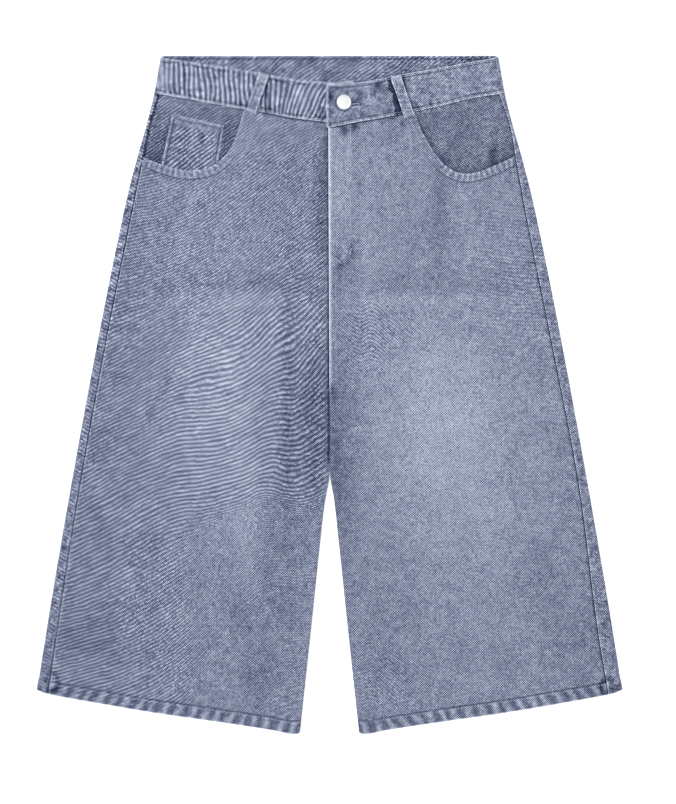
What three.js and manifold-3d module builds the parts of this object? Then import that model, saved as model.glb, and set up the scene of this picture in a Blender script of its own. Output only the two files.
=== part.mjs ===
// Wide denim shorts laid flat on their back, front up. Millimetres, +Z up, waist towards +Y.
// The wearer's right half lies at -X and the wearer's left half at +X.
// The origin is the middle of the flat underside.
import * as THREE from 'three';
import { mergeVertices } from 'three/addons/utils/BufferGeometryUtils.js';
import Module from 'manifold-3d';

const wasm = await Module();
wasm.setup();

// Cloth and seams
const clothThickness = 1.2;
const bandThickness = 2.2;
const facingThickness = 1.0;
const loopThickness = 1.8;
const seamGap = 0.3;
const hemWidth = 12;
const hemRelief = 0.7;
const scoopHemWidth = 8;
const scoopRelief = 0.5;
const ledge = 1;

// Heights of the middle of the front layer above the surface
const waistHeight = 5.6;
const legHeight = 4.6;
const flatteningTop = 250;
const flatteningBottom = 130;
const highestFront = 5.6;
const lowestFront = 2.9;
const foldFade = 40;

// Centre front, fly and inner leg
const centreX = 0.5;
const crotchY = 6;
const innerRoll = 9;
const rollReach = 26;
const innerFrontHeight = 2.7;
const innerBackHeight = 0.9;
const backHemRelief = 0.3;
const flyWidth = 21;
const flyBottom = 128;
const flyRelief = 0.4;
const underlapStart = 68;
const underlapFull = 138;
const underlapDrop = 1.5;
const underlapWidth = 34;
const centreSeamDrop = 0.5;

// Waistband
const backBandTop = 339.3;
const backBandBottom = 301;
const tabEnd = -3;
const underEnd = 24;
const underHeight = 3.7;
const tabHeight = 6.2;
const tabRamp = 45;
const evenColumnsStart = 30;
const bandEndX = 170;

// Pocket mouth, facing and coin pocket
const scoopStart = 85;
const scoopEnd = 184;
const facingInner = 72;
const facingBelowScoop = 14;
const facingDrop = 2.7;
const facingLift = 1.7;
const facingLiftReach = 24;
const mouthClearance = 4;
const coinThickness = 1.0;
const coinBelowScoop = 8;

// Belt loops, by the middle of each sewn end
const loopWidth = 10.5;
const loopArch = 1.9;
const beltLoops = {
  right: { top: { x: 65.5, y: 320 }, bottom: { x: 79, y: 281.5 } },
  left: { top: { x: 66, y: 317.4 }, bottom: { x: 80, y: 277.4 } },
};

// Button and buttonhole
const buttonX = 14.2;
const buttonY = 291.7;
const buttonRadius = 7.5;
const buttonTilt = 15 * Math.PI / 180;
const buttonClearance = 0.5;
const shankRadius = 1.5;
const buttonholeLength = 17;
const buttonholeWidth = 4;
const buttonholeShift = 4.5;
const cutMargin = 1;

// Zip, closed, behind the fly
const zipThickness = 1.0;
const zipInner = -12;
const zipOuter = 15;
const zipTop = 263;
const zipBottom = 140;

// Length of a leg panel from the waist seam to the hem
const panelLength = 640;

// Side fold of the laid garment: half width at each height
const sideFold = [
  { y: 340, x: 168.6 },
  { y: 298, x: 176.2 },
  { y: 266, x: 184.2 },
  { y: 244, x: 190.6 },
  { y: 204, x: 201.1 },
  { y: 144, x: 214.1 },
  { y: 64, x: 230.1 },
  { y: -96, x: 259.6 },
  { y: -256, x: 286.6 },
  { y: -300, x: 293.2 },
];

// Strip of the back panel that comes round the fold to the side seam, by the wearer's side
const sideStrip = [
  { y: 302, right: 5, left: 5.5 },
  { y: 266, right: 4, left: 3 },
  { y: 236, right: 6.5, left: 6.5 },
  { y: 190, right: 8.5, left: 9.5 },
  { y: 65, right: 9, left: 10 },
  { y: -85, right: 9.5, left: 9 },
  { y: -245, right: 11.5, left: 15 },
  { y: -300, right: 12, left: 14 },
];

// Half gap between the two inner legs
const innerLeg = [
  { y: 340, x: 0.15 },
  { y: -60, x: 0.15 },
  { y: -70, x: 0.15 },
  { y: -80, x: 0.3 },
  { y: -88, x: 1.3 },
  { y: -105, x: 4.4 },
  { y: -145, x: 9 },
  { y: -225, x: 17.4 },
  { y: -340, x: 29.8 },
];

// Hem line from the inner leg to the side fold
const hemLine = [
  { x: 28, y: -337.6 },
  { x: 33, y: -339.3 },
  { x: 56, y: -335.7 },
  { x: 112, y: -327.2 },
  { x: 176, y: -318 },
  { x: 232, y: -308.5 },
  { x: 278, y: -300 },
  { x: 287, y: -297.6 },
  { x: 294, y: -294.2 },
];

// Front waistband edges by distance from the centre, for the wearer's right and left
const bandEdges = [
  { x: 0, topRight: 311.8, bottomRight: 272.6, topLeft: 310.4, bottomLeft: 266.8 },
  { x: 15, topRight: 312.8, bottomRight: 274, topLeft: 310.6, bottomLeft: 269.9 },
  { x: 35, topRight: 315, bottomRight: 276.3, topLeft: 312.6, bottomLeft: 273.6 },
  { x: 70, topRight: 321.2, bottomRight: 283, topLeft: 319.6, bottomLeft: 279.8 },
  { x: 110, topRight: 328, bottomRight: 289.6, topLeft: 326.5, bottomLeft: 288.4 },
  { x: 140, topRight: 332.6, bottomRight: 295.3, topLeft: 332.2, bottomLeft: 295.6 },
  { x: 176, topRight: 337.4, bottomRight: 301.6, topLeft: 338.2, bottomLeft: 301.6 },
];

// Edge of the scooped pocket mouth, from the waist seam to the side seam
const scoopEdge = [
  { x: 85, right: 288, left: 283 },
  { x: 90, right: 268.6, left: 268 },
  { x: 97, right: 250, left: 254.5 },
  { x: 106, right: 236.8, left: 240 },
  { x: 118, right: 228, left: 227.2 },
  { x: 134, right: 224, left: 220.7 },
  { x: 152, right: 225, left: 223.6 },
  { x: 168, right: 229.8, left: 230 },
  { x: 192, right: 239.5, left: 241.5 },
];

// Coin pocket on the wearer's right: its upper corners, and where its sides meet the pocket mouth
const coinTop = { inner: { x: 106, y: 268.5 }, outer: { x: 157, y: 280.5 } };
const coinMouthX = { inner: 113.5, outer: 169.5 };

// Soft folds of the front, each a long trough (negative depth) or ridge between two ends
const folds = [
  { side: 'right', x0: 36, y0: 120, x1: 46, y1: -215, width: 11, depth: -1.1 },
  { side: 'right', x0: 62, y0: 60, x1: 84, y1: -230, width: 15, depth: 0.9 },
  { side: 'right', x0: 96, y0: -190, x1: 60, y1: -325, width: 11, depth: -0.9 },
  { side: 'right', x0: 130, y0: -20, x1: 168, y1: -300, width: 18, depth: 0.7 },
  { side: 'right', x0: 205, y0: -60, x1: 232, y1: -300, width: 14, depth: -0.8 },
  { side: 'right', x0: 24, y0: 101, x1: 150, y1: 96, width: 6, depth: -0.6 },
  { side: 'right', x0: 118, y0: 205, x1: 140, y1: 120, width: 13, depth: 0.6 },
  { side: 'left', x0: 108, y0: 224, x1: 112, y1: 95, width: 11, depth: -1.0 },
  { side: 'left', x0: 40, y0: 205, x1: 36, y1: 60, width: 10, depth: 0.8 },
  { side: 'left', x0: 60, y0: 30, x1: 72, y1: -230, width: 14, depth: -0.9 },
  { side: 'left', x0: 112, y0: 60, x1: 128, y1: -160, width: 24, depth: 0.8 },
  { side: 'left', x0: 190, y0: -10, x1: 214, y1: -290, width: 15, depth: -0.8 },
  { side: 'left', x0: 150, y0: -180, x1: 160, y1: -310, width: 13, depth: 0.8 },
  { side: 'left', x0: 36, y0: 98, x1: 180, y1: 104, width: 6, depth: -0.6 },
];

const denim = new THREE.MeshStandardMaterial({ color: 0x8f98b4, roughness: 0.92, metalness: 0 });
const darkDenim = new THREE.MeshStandardMaterial({ color: 0x757fa0, roughness: 0.94, metalness: 0 });
const steel = new THREE.MeshStandardMaterial({ color: 0xe8e8ea, roughness: 0.28, metalness: 1 });
const tape = new THREE.MeshStandardMaterial({ color: 0x4c5678, roughness: 0.85, metalness: 0 });

const garment = new THREE.Group();
const sides = { right: -1, left: 1 };
const lerp = THREE.MathUtils.lerp;
const clamp = THREE.MathUtils.clamp;

function add(name, geometry, material) {
  const mesh = new THREE.Mesh(geometry, material);
  mesh.name = name;
  garment.add(mesh);
}

function ease(from, to, value) {
  return THREE.MathUtils.smoothstep(clamp((value - from) / (to - from), 0, 1), 0, 1);
}

// Smooth curve through a table's rows: the value of one column where the key column equals at
function readTable(table, key, column, at) {
  const rising = table[table.length - 1][key] > table[0][key];
  const rows = rising ? table : [...table].reverse();
  const place = clamp(at, rows[0][key], rows[rows.length - 1][key]);
  let k = 0;
  while (k < rows.length - 2 && rows[k + 1][key] < place) {
    k += 1;
  }
  const slope = (a, b) => (b[column] - a[column]) / (b[key] - a[key]);
  const span = rows[k + 1][key] - rows[k][key];
  const t = (place - rows[k][key]) / span;
  const middle = slope(rows[k], rows[k + 1]);
  const before = k > 0 ? (slope(rows[k - 1], rows[k]) + middle) / 2 : middle;
  const after = k < rows.length - 2 ? (middle + slope(rows[k + 1], rows[k + 2])) / 2 : middle;
  const t2 = t * t;
  const t3 = t2 * t;
  return (2 * t3 - 3 * t2 + 1) * rows[k][column] + (t3 - 2 * t2 + t) * span * before
    + (3 * t2 - 2 * t3) * rows[k + 1][column] + (t3 - t2) * span * after;
}

// Place where a rule that gives a place from itself comes to rest
function settled(start, rule) {
  let place = start;
  for (let k = 0; k < 6; k += 1) {
    place = rule(place);
  }
  return place;
}

function foldX(y) {
  return readTable(sideFold, 'y', 'x', y);
}

function seamX(side, y) {
  return foldX(y) - readTable(sideStrip, 'y', side, y);
}

// Distance of the inner edge from the centre plane, on the side's own half
function innerX(side, y) {
  const lean = centreX * ease(-140, -60, y);
  return readTable(innerLeg, 'y', 'x', y) + sides[side] * lean;
}

function hemY(x) {
  return readTable(hemLine, 'x', 'y', x);
}

function bandBottom(side, x) {
  return readTable(bandEdges, 'x', side === 'right' ? 'bottomRight' : 'bottomLeft', x);
}

function bandTop(side, x) {
  return readTable(bandEdges, 'x', side === 'right' ? 'topRight' : 'topLeft', x);
}

function scoopY(side, x) {
  return readTable(scoopEdge, 'x', side, x);
}

// Upper edge of a front panel: the waist seam, then the scooped pocket mouth
function frontTopY(side, x) {
  if (x < scoopStart) {
    return bandBottom(side, x) - seamGap;
  }
  return Math.min(scoopY(side, x), bandBottom(side, x) - seamGap);
}

function sideHeight(y) {
  return lerp(legHeight, waistHeight, ease(flatteningBottom, flatteningTop, y));
}

function foldRelief(side, x, y) {
  let relief = 0;
  for (const fold of folds.filter((entry) => entry.side === side)) {
    const run = new THREE.Vector2(fold.x1 - fold.x0, fold.y1 - fold.y0);
    const from = new THREE.Vector2(x - fold.x0, y - fold.y0);
    const along = from.dot(run) / run.lengthSq();
    const across = from.cross(run) / run.length();
    const fade = ease(-0.12, 0.25, along) * ease(1.12, 0.75, along);
    relief += fold.depth * fade * Math.exp(-((across / fold.width) ** 2));
  }
  return relief * ease(0, foldFade, seamX(side, y) - x);
}

// Middle height of the front layer, x counted outwards from the centre on either side
function frontHeight(side, x, y) {
  const fromInner = x - innerX(side, y);
  let height = sideHeight(y) + foldRelief(side, x, y);
  const atFly = ease(underlapStart, underlapFull, y);
  if (side === 'right') {
    height -= lerp(centreSeamDrop, underlapDrop, atFly) * ease(underlapWidth, 0, fromInner);
  }
  height = clamp(height, lowestFront, highestFront);
  const turn = 1 - clamp(fromInner / innerRoll, 0, 1);
  const roll = ease(crotchY, crotchY - rollReach, y) * (1 - Math.sqrt(1 - turn ** 2));
  return lerp(height, innerFrontHeight, roll);
}

// Closed wall from a grid of points, each with an outer and an inner place
function wall(grid) {
  const rows = grid.length;
  const columns = grid[0].length;
  const places = [];
  for (const layer of ['outer', 'inner']) {
    for (const row of grid) {
      for (const point of row) {
        places.push(...point[layer].toArray());
      }
    }
  }
  const at = (layer, i, j) => (layer * rows + i) * columns + j;
  const faces = [];
  const quad = (a, b, c, d) => faces.push(a, b, c, a, c, d);
  for (let i = 0; i < rows - 1; i += 1) {
    for (let j = 0; j < columns - 1; j += 1) {
      quad(at(0, i, j), at(0, i, j + 1), at(0, i + 1, j + 1), at(0, i + 1, j));
      quad(at(1, i, j), at(1, i + 1, j), at(1, i + 1, j + 1), at(1, i, j + 1));
    }
  }
  for (let j = 0; j < columns - 1; j += 1) {
    quad(at(0, 0, j + 1), at(0, 0, j), at(1, 0, j), at(1, 0, j + 1));
    quad(at(0, rows - 1, j), at(0, rows - 1, j + 1), at(1, rows - 1, j + 1), at(1, rows - 1, j));
  }
  for (let i = 0; i < rows - 1; i += 1) {
    quad(at(0, i, 0), at(0, i + 1, 0), at(1, i + 1, 0), at(1, i, 0));
    quad(at(0, i + 1, columns - 1), at(0, i, columns - 1), at(1, i, columns - 1), at(1, i + 1, columns - 1));
  }
  const geometry = new THREE.BufferGeometry();
  geometry.setAttribute('position', new THREE.Float32BufferAttribute(places, 3));
  geometry.setIndex(signedVolume(places, faces) < 0 ? turned(faces) : faces);
  geometry.computeVertexNormals();
  return geometry;
}

function signedVolume(places, faces) {
  const corner = (k) => new THREE.Vector3().fromArray(places, 3 * k);
  let volume = 0;
  for (let k = 0; k < faces.length; k += 3) {
    volume += corner(faces[k]).dot(corner(faces[k + 1]).cross(corner(faces[k + 2]))) / 6;
  }
  return volume;
}

function turned(faces) {
  const out = [];
  for (let k = 0; k < faces.length; k += 3) {
    out.push(faces[k], faces[k + 2], faces[k + 1]);
  }
  return out;
}

// One grid point of a layer that lies level: middle height, half thickness and any relief on top
function levelPoint(sign, x, y, height, half, relief = 0) {
  return {
    outer: new THREE.Vector3(sign * x, y, height + half + relief),
    inner: new THREE.Vector3(sign * x, y, height - half),
  };
}

// Even steps between two values, both ends included
function steps(from, to, count) {
  return Array.from({ length: count + 1 }, (_, k) => lerp(from, to, k / count));
}

// Patch between four edges, each a function of a share from 0 to 1
function patchPoint(upper, lower, inner, outer, u, v) {
  const blend = (p, q, t) => ({ x: lerp(p.x, q.x, t), y: lerp(p.y, q.y, t) });
  const across = blend(inner(v), outer(v), u);
  const down = blend(upper(u), lower(u), v);
  const corners = blend(blend(upper(0), upper(1), u), blend(lower(0), lower(1), u), v);
  return { x: across.x + down.x - corners.x, y: across.y + down.y - corners.y };
}

// Front panel: a grid from the waist seam and pocket mouth down to the hem
function frontGrid(side) {
  const half = clothThickness / 2;
  const sign = sides[side];
  const outerTopX = seamX(side, scoopY(side, scoopEnd)) - seamGap;
  const beforeScoop = side === 'left' ? [0, 4, 11, 20, 22, 34, 50, 66] : [0, 3, 8, 16, 28, 44, 58, 70];
  const afterScoop = [89, 95, 103, 113, 126, 140, 154, 168];
  const columns = [...beforeScoop, scoopStart, ...afterScoop, outerTopX];
  const share = columns.map((x) => x / outerTopX);
  const edge = columns.map((x, k) => {
    const y = frontTopY(side, x);
    return { x: k === 0 ? innerX(side, y) : x, y };
  });
  // Each column's inward direction at the upper edge, longer at the corner of the pocket mouth
  const inward = edge.map((point, k) => {
    const before = edge[Math.max(k - 1, 0)];
    const after = edge[Math.min(k + 1, edge.length - 1)];
    const away = (p, q) => new THREE.Vector2(q.y - p.y, p.x - q.x).normalize();
    const one = k > 0 ? away(before, point) : away(point, after);
    const two = k < edge.length - 1 ? away(point, after) : away(before, point);
    const sum = one.clone().add(two).normalize();
    return sum.multiplyScalar(1 / Math.max(sum.dot(one), 0.5));
  });
  inward[0].set(0, -1);
  const last = edge[edge.length - 1];
  const below = last.y - scoopHemWidth - ledge;
  inward[inward.length - 1].set(seamX(side, below) - seamGap - last.x, below - last.y)
    .divideScalar(scoopHemWidth + ledge);
  const moved = (k, distance) => ({
    x: edge[k].x + inward[k].x * distance,
    y: edge[k].y + inward[k].y * distance,
  });
  const upperEdge = (u) => moved(share.indexOf(u), scoopHemWidth + ledge);
  const hemPoint = (u, rise) => {
    const innerEnd = settled(hemLine[0].x, (x) => innerX(side, hemY(x) + rise));
    const outerEnd = settled(hemLine[hemLine.length - 1].x, (x) => seamX(side, hemY(x) + rise)) - seamGap;
    const x = lerp(innerEnd, outerEnd, u);
    return { x, y: hemY(x) + rise };
  };
  const hemRise = hemWidth + ledge;
  const lowerEdge = (u) => hemPoint(u, hemRise);
  const innerEdge = (v) => {
    const y = lerp(upperEdge(0).y, lowerEdge(0).y, v);
    return { x: innerX(side, y), y };
  };
  const outerEdge = (v) => {
    const y = lerp(upperEdge(1).y, lowerEdge(1).y, v);
    return { x: seamX(side, y) - seamGap, y };
  };
  const grid = [];
  const pushRow = (place, relief) => {
    grid.push(share.map((u, k) => {
      const point = place(u, k);
      const height = frontHeight(side, point.x, point.y);
      return levelPoint(sign, point.x, point.y, height, half, relief(point, k));
    }));
  };
  const flyRise = (point) => {
    const inside = side === 'left' && point.y > flyBottom && point.x - innerX(side, point.y) < flyWidth;
    return inside ? flyRelief : 0;
  };
  const scoopRise = (point, k) => flyRise(point) + (columns[k] >= scoopStart ? scoopRelief : 0);
  pushRow((u, k) => moved(k, 0), scoopRise);
  pushRow((u, k) => moved(k, scoopHemWidth), scoopRise);
  const flyRows = [0, 0.045, 0.09, 0.135, 0.18, 0.205];
  const bodyRows = [...flyRows, ...steps(0.24, 0.96, 20), 1];
  for (const v of bodyRows) {
    pushRow((u) => patchPoint(upperEdge, lowerEdge, innerEdge, outerEdge, u, v), flyRise);
  }
  pushRow((u) => hemPoint(u, hemWidth), () => hemRelief);
  pushRow((u) => hemPoint(u, hemWidth / 2), () => hemRelief);
  pushRow((u) => hemPoint(u, 0), () => hemRelief);
  return grid;
}

// Cross-section of a layer that lies flat below, turns up round the side fold and comes back on top.
// Each entry has the share of the half width, the middle height and the outward direction.
function foldSection(edgeX, innerEdgeX, returnX, lowHeight, highHeight, thickness, flatShares, returnShares) {
  const radius = (highHeight - lowHeight) / 2;
  const centre = { x: edgeX - thickness / 2 - radius, z: lowHeight + radius };
  const section = flatShares.map((share) => ({
    x: lerp(innerEdgeX, centre.x, share), z: lowHeight, nx: 0, nz: -1, top: false,
  }));
  for (const angle of steps(-75, 75, 5)) {
    const turn = THREE.MathUtils.degToRad(angle);
    const nx = Math.cos(turn);
    const nz = Math.sin(turn);
    section.push({ x: centre.x + radius * nx, z: centre.z + radius * nz, nx, nz, top: angle > 0 });
  }
  for (const share of returnShares) {
    section.push({ x: lerp(centre.x, returnX, share), z: highHeight, nx: 0, nz: 1, top: true });
  }
  return section;
}

function sectionPoint(sign, y, entry, half, outerRelief, innerRelief) {
  const place = (distance) => new THREE.Vector3(
    sign * (entry.x + entry.nx * distance), y, entry.z + entry.nz * distance);
  return { outer: place(half + outerRelief), inner: place(-half - innerRelief) };
}

// Back panel: flat underneath, then round the side fold and over to the side seam
function backGrid(side) {
  const half = clothThickness / 2;
  const sign = sides[side];
  const flatShares = [0, 0.012, 0.03, 0.07, 0.2, 0.36, 0.52, 0.68, 0.84, 0.95, 1];
  const returnShares = [0.05, 0.5, 1];
  const hemShare = hemWidth / panelLength;
  const stepShare = ledge / panelLength;
  const rows = [...steps(0, 0.955, 24), 1 - hemShare - stepShare, 1 - hemShare, 1];
  return rows.map((v) => {
    const rowY = (x, onTop = false) => {
      const top = onTop ? Math.min(backBandBottom, bandBottom(side, x)) : backBandBottom;
      return lerp(top - seamGap, hemY(x), v);
    };
    const edgeX = settled(foldX(0), (x) => foldX(rowY(x)));
    const edgeY = rowY(edgeX);
    const inner = settled(0, (x) => innerX(side, rowY(x)));
    const seam = settled(edgeX, (x) => seamX(side, rowY(x)));
    const inHem = v >= 1 - hemShare;
    const section = foldSection(edgeX, inner, seam, half, sideHeight(edgeY),
      clothThickness, flatShares, returnShares);
    return section.map((entry) => {
      const y = rowY(entry.x, entry.top);
      const rise = ease(crotchY, crotchY - rollReach, y) * ease(innerRoll, 0, entry.x - inner);
      const raised = { ...entry, z: entry.z + (entry.top ? 0 : (innerBackHeight - half) * rise) };
      const relief = inHem && entry.top ? hemRelief : 0;
      return sectionPoint(sign, y, raised, half, relief, inHem ? backHemRelief : 0);
    });
  });
}

// Waistband: one strip from the tab at the centre, round both side folds, to the end under the tab
function bandHeight(side, x) {
  if (side === 'left') {
    return lerp(tabHeight, waistHeight, ease(underEnd + 4, underEnd + tabRamp, x));
  }
  return lerp(underHeight, waistHeight, ease(0, tabRamp, x));
}

function waistbandGrid() {
  const half = bandThickness / 2;
  const steepest = 80;
  const rows = [0, 0.12, 0.5, 0.88, 1];
  const ends = { left: [tabEnd, 4, 12, 20, 27], right: [-underEnd, -12, -4, 0, 6] };
  const frontShares = [0.12, 0.26, 0.42, 0.57, 0.73, 0.88, 1];
  const backShares = [1, 0.9, 0.7, 0.5, 0.3, 0.1];
  const halfPath = (side) => [
    ...ends[side].map((x) => ({ side, kind: 'front', x })),
    ...frontShares.map((share) => ({ side, kind: 'front', share })),
    ...steps(steepest, -steepest, 5).map((angle) => ({ side, kind: 'fold', angle })),
    ...backShares.map((share) => ({ side, kind: 'back', share })),
  ];
  // Over the turn the front's edges pass smoothly to the straight edges of the back
  const turnOf = { front: () => 0, back: () => 1, fold: (stop) => (steepest - stop.angle) / (2 * steepest) };
  const path = [...halfPath('left'), ...halfPath('right').reverse()];
  return rows.map((v) => path.map((stop) => {
    const sign = sides[stop.side];
    const turn = turnOf[stop.kind](stop);
    const edgeTop = lerp(bandTop(stop.side, bandEndX), backBandTop, turn);
    const edgeBottom = lerp(bandBottom(stop.side, foldX(backBandBottom)), backBandBottom, turn);
    const edgeY = lerp(edgeTop, edgeBottom, v);
    const radius = (waistHeight - half) / 2;
    const centre = foldX(edgeY) - half - radius;
    if (stop.kind === 'fold') {
      const angle = THREE.MathUtils.degToRad(stop.angle);
      const entry = {
        x: centre + radius * Math.cos(angle), z: half + radius + radius * Math.sin(angle),
        nx: Math.cos(angle), nz: Math.sin(angle),
      };
      return sectionPoint(sign, edgeY, entry, half, 0, 0);
    }
    if (stop.kind === 'back') {
      const entry = { x: centre * stop.share, z: half, nx: 0, nz: -1 };
      return sectionPoint(sign, edgeY, entry, half, 0, 0);
    }
    const x = stop.share === undefined ? stop.x : lerp(evenColumnsStart, centre, stop.share);
    const y = lerp(bandTop(stop.side, Math.abs(x)), bandBottom(stop.side, Math.abs(x)), v);
    const entry = { x, z: bandHeight(stop.side, x), nx: 0, nz: 1 };
    return sectionPoint(sign, y, entry, half, 0, 0);
  }));
}

// Solids for cutting and joining
function toSolid(geometry) {
  const bare = geometry.clone();
  bare.deleteAttribute('normal');
  bare.deleteAttribute('uv');
  const merged = mergeVertices(bare, 1e-4);
  return new wasm.Manifold(new wasm.Mesh({
    numProp: 3,
    vertProperties: new Float32Array(merged.attributes.position.array),
    triVerts: new Uint32Array(merged.index.array),
  }));
}

function toGeometry(solid) {
  const mesh = solid.getMesh();
  const geometry = new THREE.BufferGeometry();
  geometry.setAttribute('position', new THREE.BufferAttribute(new Float32Array(mesh.vertProperties), 3));
  geometry.setIndex(new THREE.BufferAttribute(new Uint32Array(mesh.triVerts), 1));
  geometry.computeVertexNormals();
  return geometry;
}

// Buttonhole: a slot with round ends through the tab
function buttonhole() {
  const radius = buttonholeWidth / 2;
  const reach = buttonholeLength / 2 - radius;
  const outline = new THREE.Shape();
  outline.absarc(reach, 0, radius, -Math.PI / 2, Math.PI / 2, false);
  outline.absarc(-reach, 0, radius, Math.PI / 2, Math.PI * 1.5, false);
  const depth = bandThickness + 2 * cutMargin;
  const geometry = new THREE.ExtrudeGeometry(outline, { depth, bevelEnabled: false, curveSegments: 6 });
  geometry.translate(buttonX + buttonholeShift, buttonY, tabHeight - depth / 2);
  return geometry;
}

// Facing behind a pocket mouth, sewn in the waist seam and the side seam
function facingBottom(side, x) {
  return scoopY(side, Math.max(x, scoopStart + 1.5 * mouthClearance)) - facingBelowScoop;
}

function facingHeight(side, x, y) {
  const fromWaist = bandBottom(side, x) - y;
  const fromSeam = seamX(side, y) - x;
  const aboveMouth = y - scoopY(side, Math.max(x, scoopStart + mouthClearance));
  const inMouth = ease(mouthClearance, facingLiftReach, aboveMouth);
  const sewn = Math.max(ease(facingLiftReach, 2, fromWaist), ease(facingLiftReach, 2, fromSeam));
  return Math.min(frontHeight(side, x, y), waistHeight) - facingDrop + facingLift * inMouth * sewn;
}

function facingGrid(side) {
  return steps(0, 1, 9).map((v) => {
    const rowY = (x) => lerp(bandBottom(side, x) - seamGap, facingBottom(side, x), v);
    const outerX = settled(scoopEnd, (x) => seamX(side, rowY(x)) - 2 * seamGap);
    const columns = [...steps(facingInner, 160, 9), 170, outerX];
    return columns.map((x) => {
      const y = rowY(x);
      return levelPoint(sides[side], x, y, facingHeight(side, x, y), facingThickness / 2);
    });
  });
}

// Coin pocket on the wearer's right facing, its lower edge behind the pocket mouth
function coinGrid() {
  const side = 'right';
  const lift = facingThickness / 2 + seamGap + coinThickness / 2;
  return [0, 0.14, 0.16, 0.4, 0.7, 1].map((v) => steps(0, 1, 5).map((u) => {
    const topX = lerp(coinTop.inner.x, coinTop.outer.x, u);
    const topY = lerp(coinTop.inner.y, coinTop.outer.y, u);
    const mouthX = lerp(coinMouthX.inner, coinMouthX.outer, u);
    const bottomY = scoopY(side, mouthX) - coinBelowScoop;
    const x = lerp(topX, mouthX, v);
    const y = lerp(topY, bottomY, v);
    return levelPoint(sides[side], x, y, facingHeight(side, x, y) + lift, coinThickness / 2);
  }));
}

// Belt loop: a narrow strip that stands off the band between its two sewn ends
function loopGrid(side) {
  const { top, bottom } = beltLoops[side];
  const run = new THREE.Vector2(bottom.x - top.x, bottom.y - top.y);
  const across = new THREE.Vector2(-run.y, run.x).normalize();
  return [0, 0.06, 0.14, 0.28, 0.5, 0.72, 0.86, 0.94, 1].map((v) => [-0.5, 0, 0.5].map((w) => {
    const x = lerp(top.x, bottom.x, v) + across.x * w * loopWidth;
    const y = lerp(top.y, bottom.y, v) + across.y * w * loopWidth;
    const arch = loopArch * Math.sqrt(Math.sin(Math.PI * clamp(v, 0, 1)));
    const height = waistHeight + bandThickness / 2 + seamGap + loopThickness / 2 + arch;
    return levelPoint(sides[side], x, y, height, loopThickness / 2);
  }));
}

// Shank button: a domed cap with a rolled rim, and the shank through the buttonhole
function buttonGeometry() {
  const capTop = tabHeight + bandThickness / 2 + buttonClearance + buttonRadius * Math.sin(buttonTilt);
  const shankFoot = underHeight + bandThickness / 2 + seamGap;
  const shankLength = (capTop - shankFoot) / Math.cos(buttonTilt) - buttonClearance;
  const profile = [
    [0, -shankLength], [shankRadius, -shankLength], [shankRadius, 0], [6.6, 0.1],
    [7.3, 0.5], [buttonRadius, 1.1], [7.2, 1.7], [6.4, 1.9], [5.6, 1.6], [3, 1.8], [0, 1.9],
  ].map(([radius, height]) => new THREE.Vector2(radius, height));
  const geometry = new THREE.LatheGeometry(profile, 28);
  geometry.rotateX(Math.PI / 2);
  geometry.rotateY(buttonTilt);
  geometry.translate(buttonX, buttonY, capTop);
  return geometry;
}

// Closed zip: a plain tape with its chain, just under the fly
function zipGrid() {
  const half = zipThickness / 2;
  const drop = clothThickness / 2 + seamGap + half;
  return steps(zipTop, zipBottom, 6).map((y) => {
    const underlap = frontHeight('right', innerX('right', y), y);
    return steps(zipInner, zipOuter, 4).map((x) => levelPoint(1, x, y, underlap - drop, half));
  });
}

for (const side of ['right', 'left']) {
  add(`front_${side}`, wall(frontGrid(side)), denim);
  add(`back_${side}`, wall(backGrid(side)), denim);
  add(`pocket_facing_${side}`, wall(facingGrid(side)), darkDenim);
  add(`belt_loop_${side}`, wall(loopGrid(side)), denim);
}
add('waistband', toGeometry(toSolid(wall(waistbandGrid())).subtract(toSolid(buttonhole()))), denim);
add('coin_pocket', wall(coinGrid()), darkDenim);
add('button', buttonGeometry(), steel);
add('zip', wall(zipGrid()), tape);

export default garment;
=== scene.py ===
import math

import bpy
import numpy as np
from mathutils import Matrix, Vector
from mathutils.bvhtree import BVHTree


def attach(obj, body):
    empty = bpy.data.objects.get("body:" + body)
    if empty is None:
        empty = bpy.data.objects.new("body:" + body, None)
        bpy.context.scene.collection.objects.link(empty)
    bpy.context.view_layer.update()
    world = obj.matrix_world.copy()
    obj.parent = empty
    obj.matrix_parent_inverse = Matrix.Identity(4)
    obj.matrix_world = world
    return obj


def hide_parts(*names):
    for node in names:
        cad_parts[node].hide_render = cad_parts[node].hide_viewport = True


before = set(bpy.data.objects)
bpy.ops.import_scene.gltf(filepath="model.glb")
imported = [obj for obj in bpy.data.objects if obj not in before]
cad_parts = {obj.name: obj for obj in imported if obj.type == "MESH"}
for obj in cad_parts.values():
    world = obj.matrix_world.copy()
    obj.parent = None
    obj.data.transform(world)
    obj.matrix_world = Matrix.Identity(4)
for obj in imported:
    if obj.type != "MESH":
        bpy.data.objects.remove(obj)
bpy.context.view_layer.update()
mm = 0.001

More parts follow.
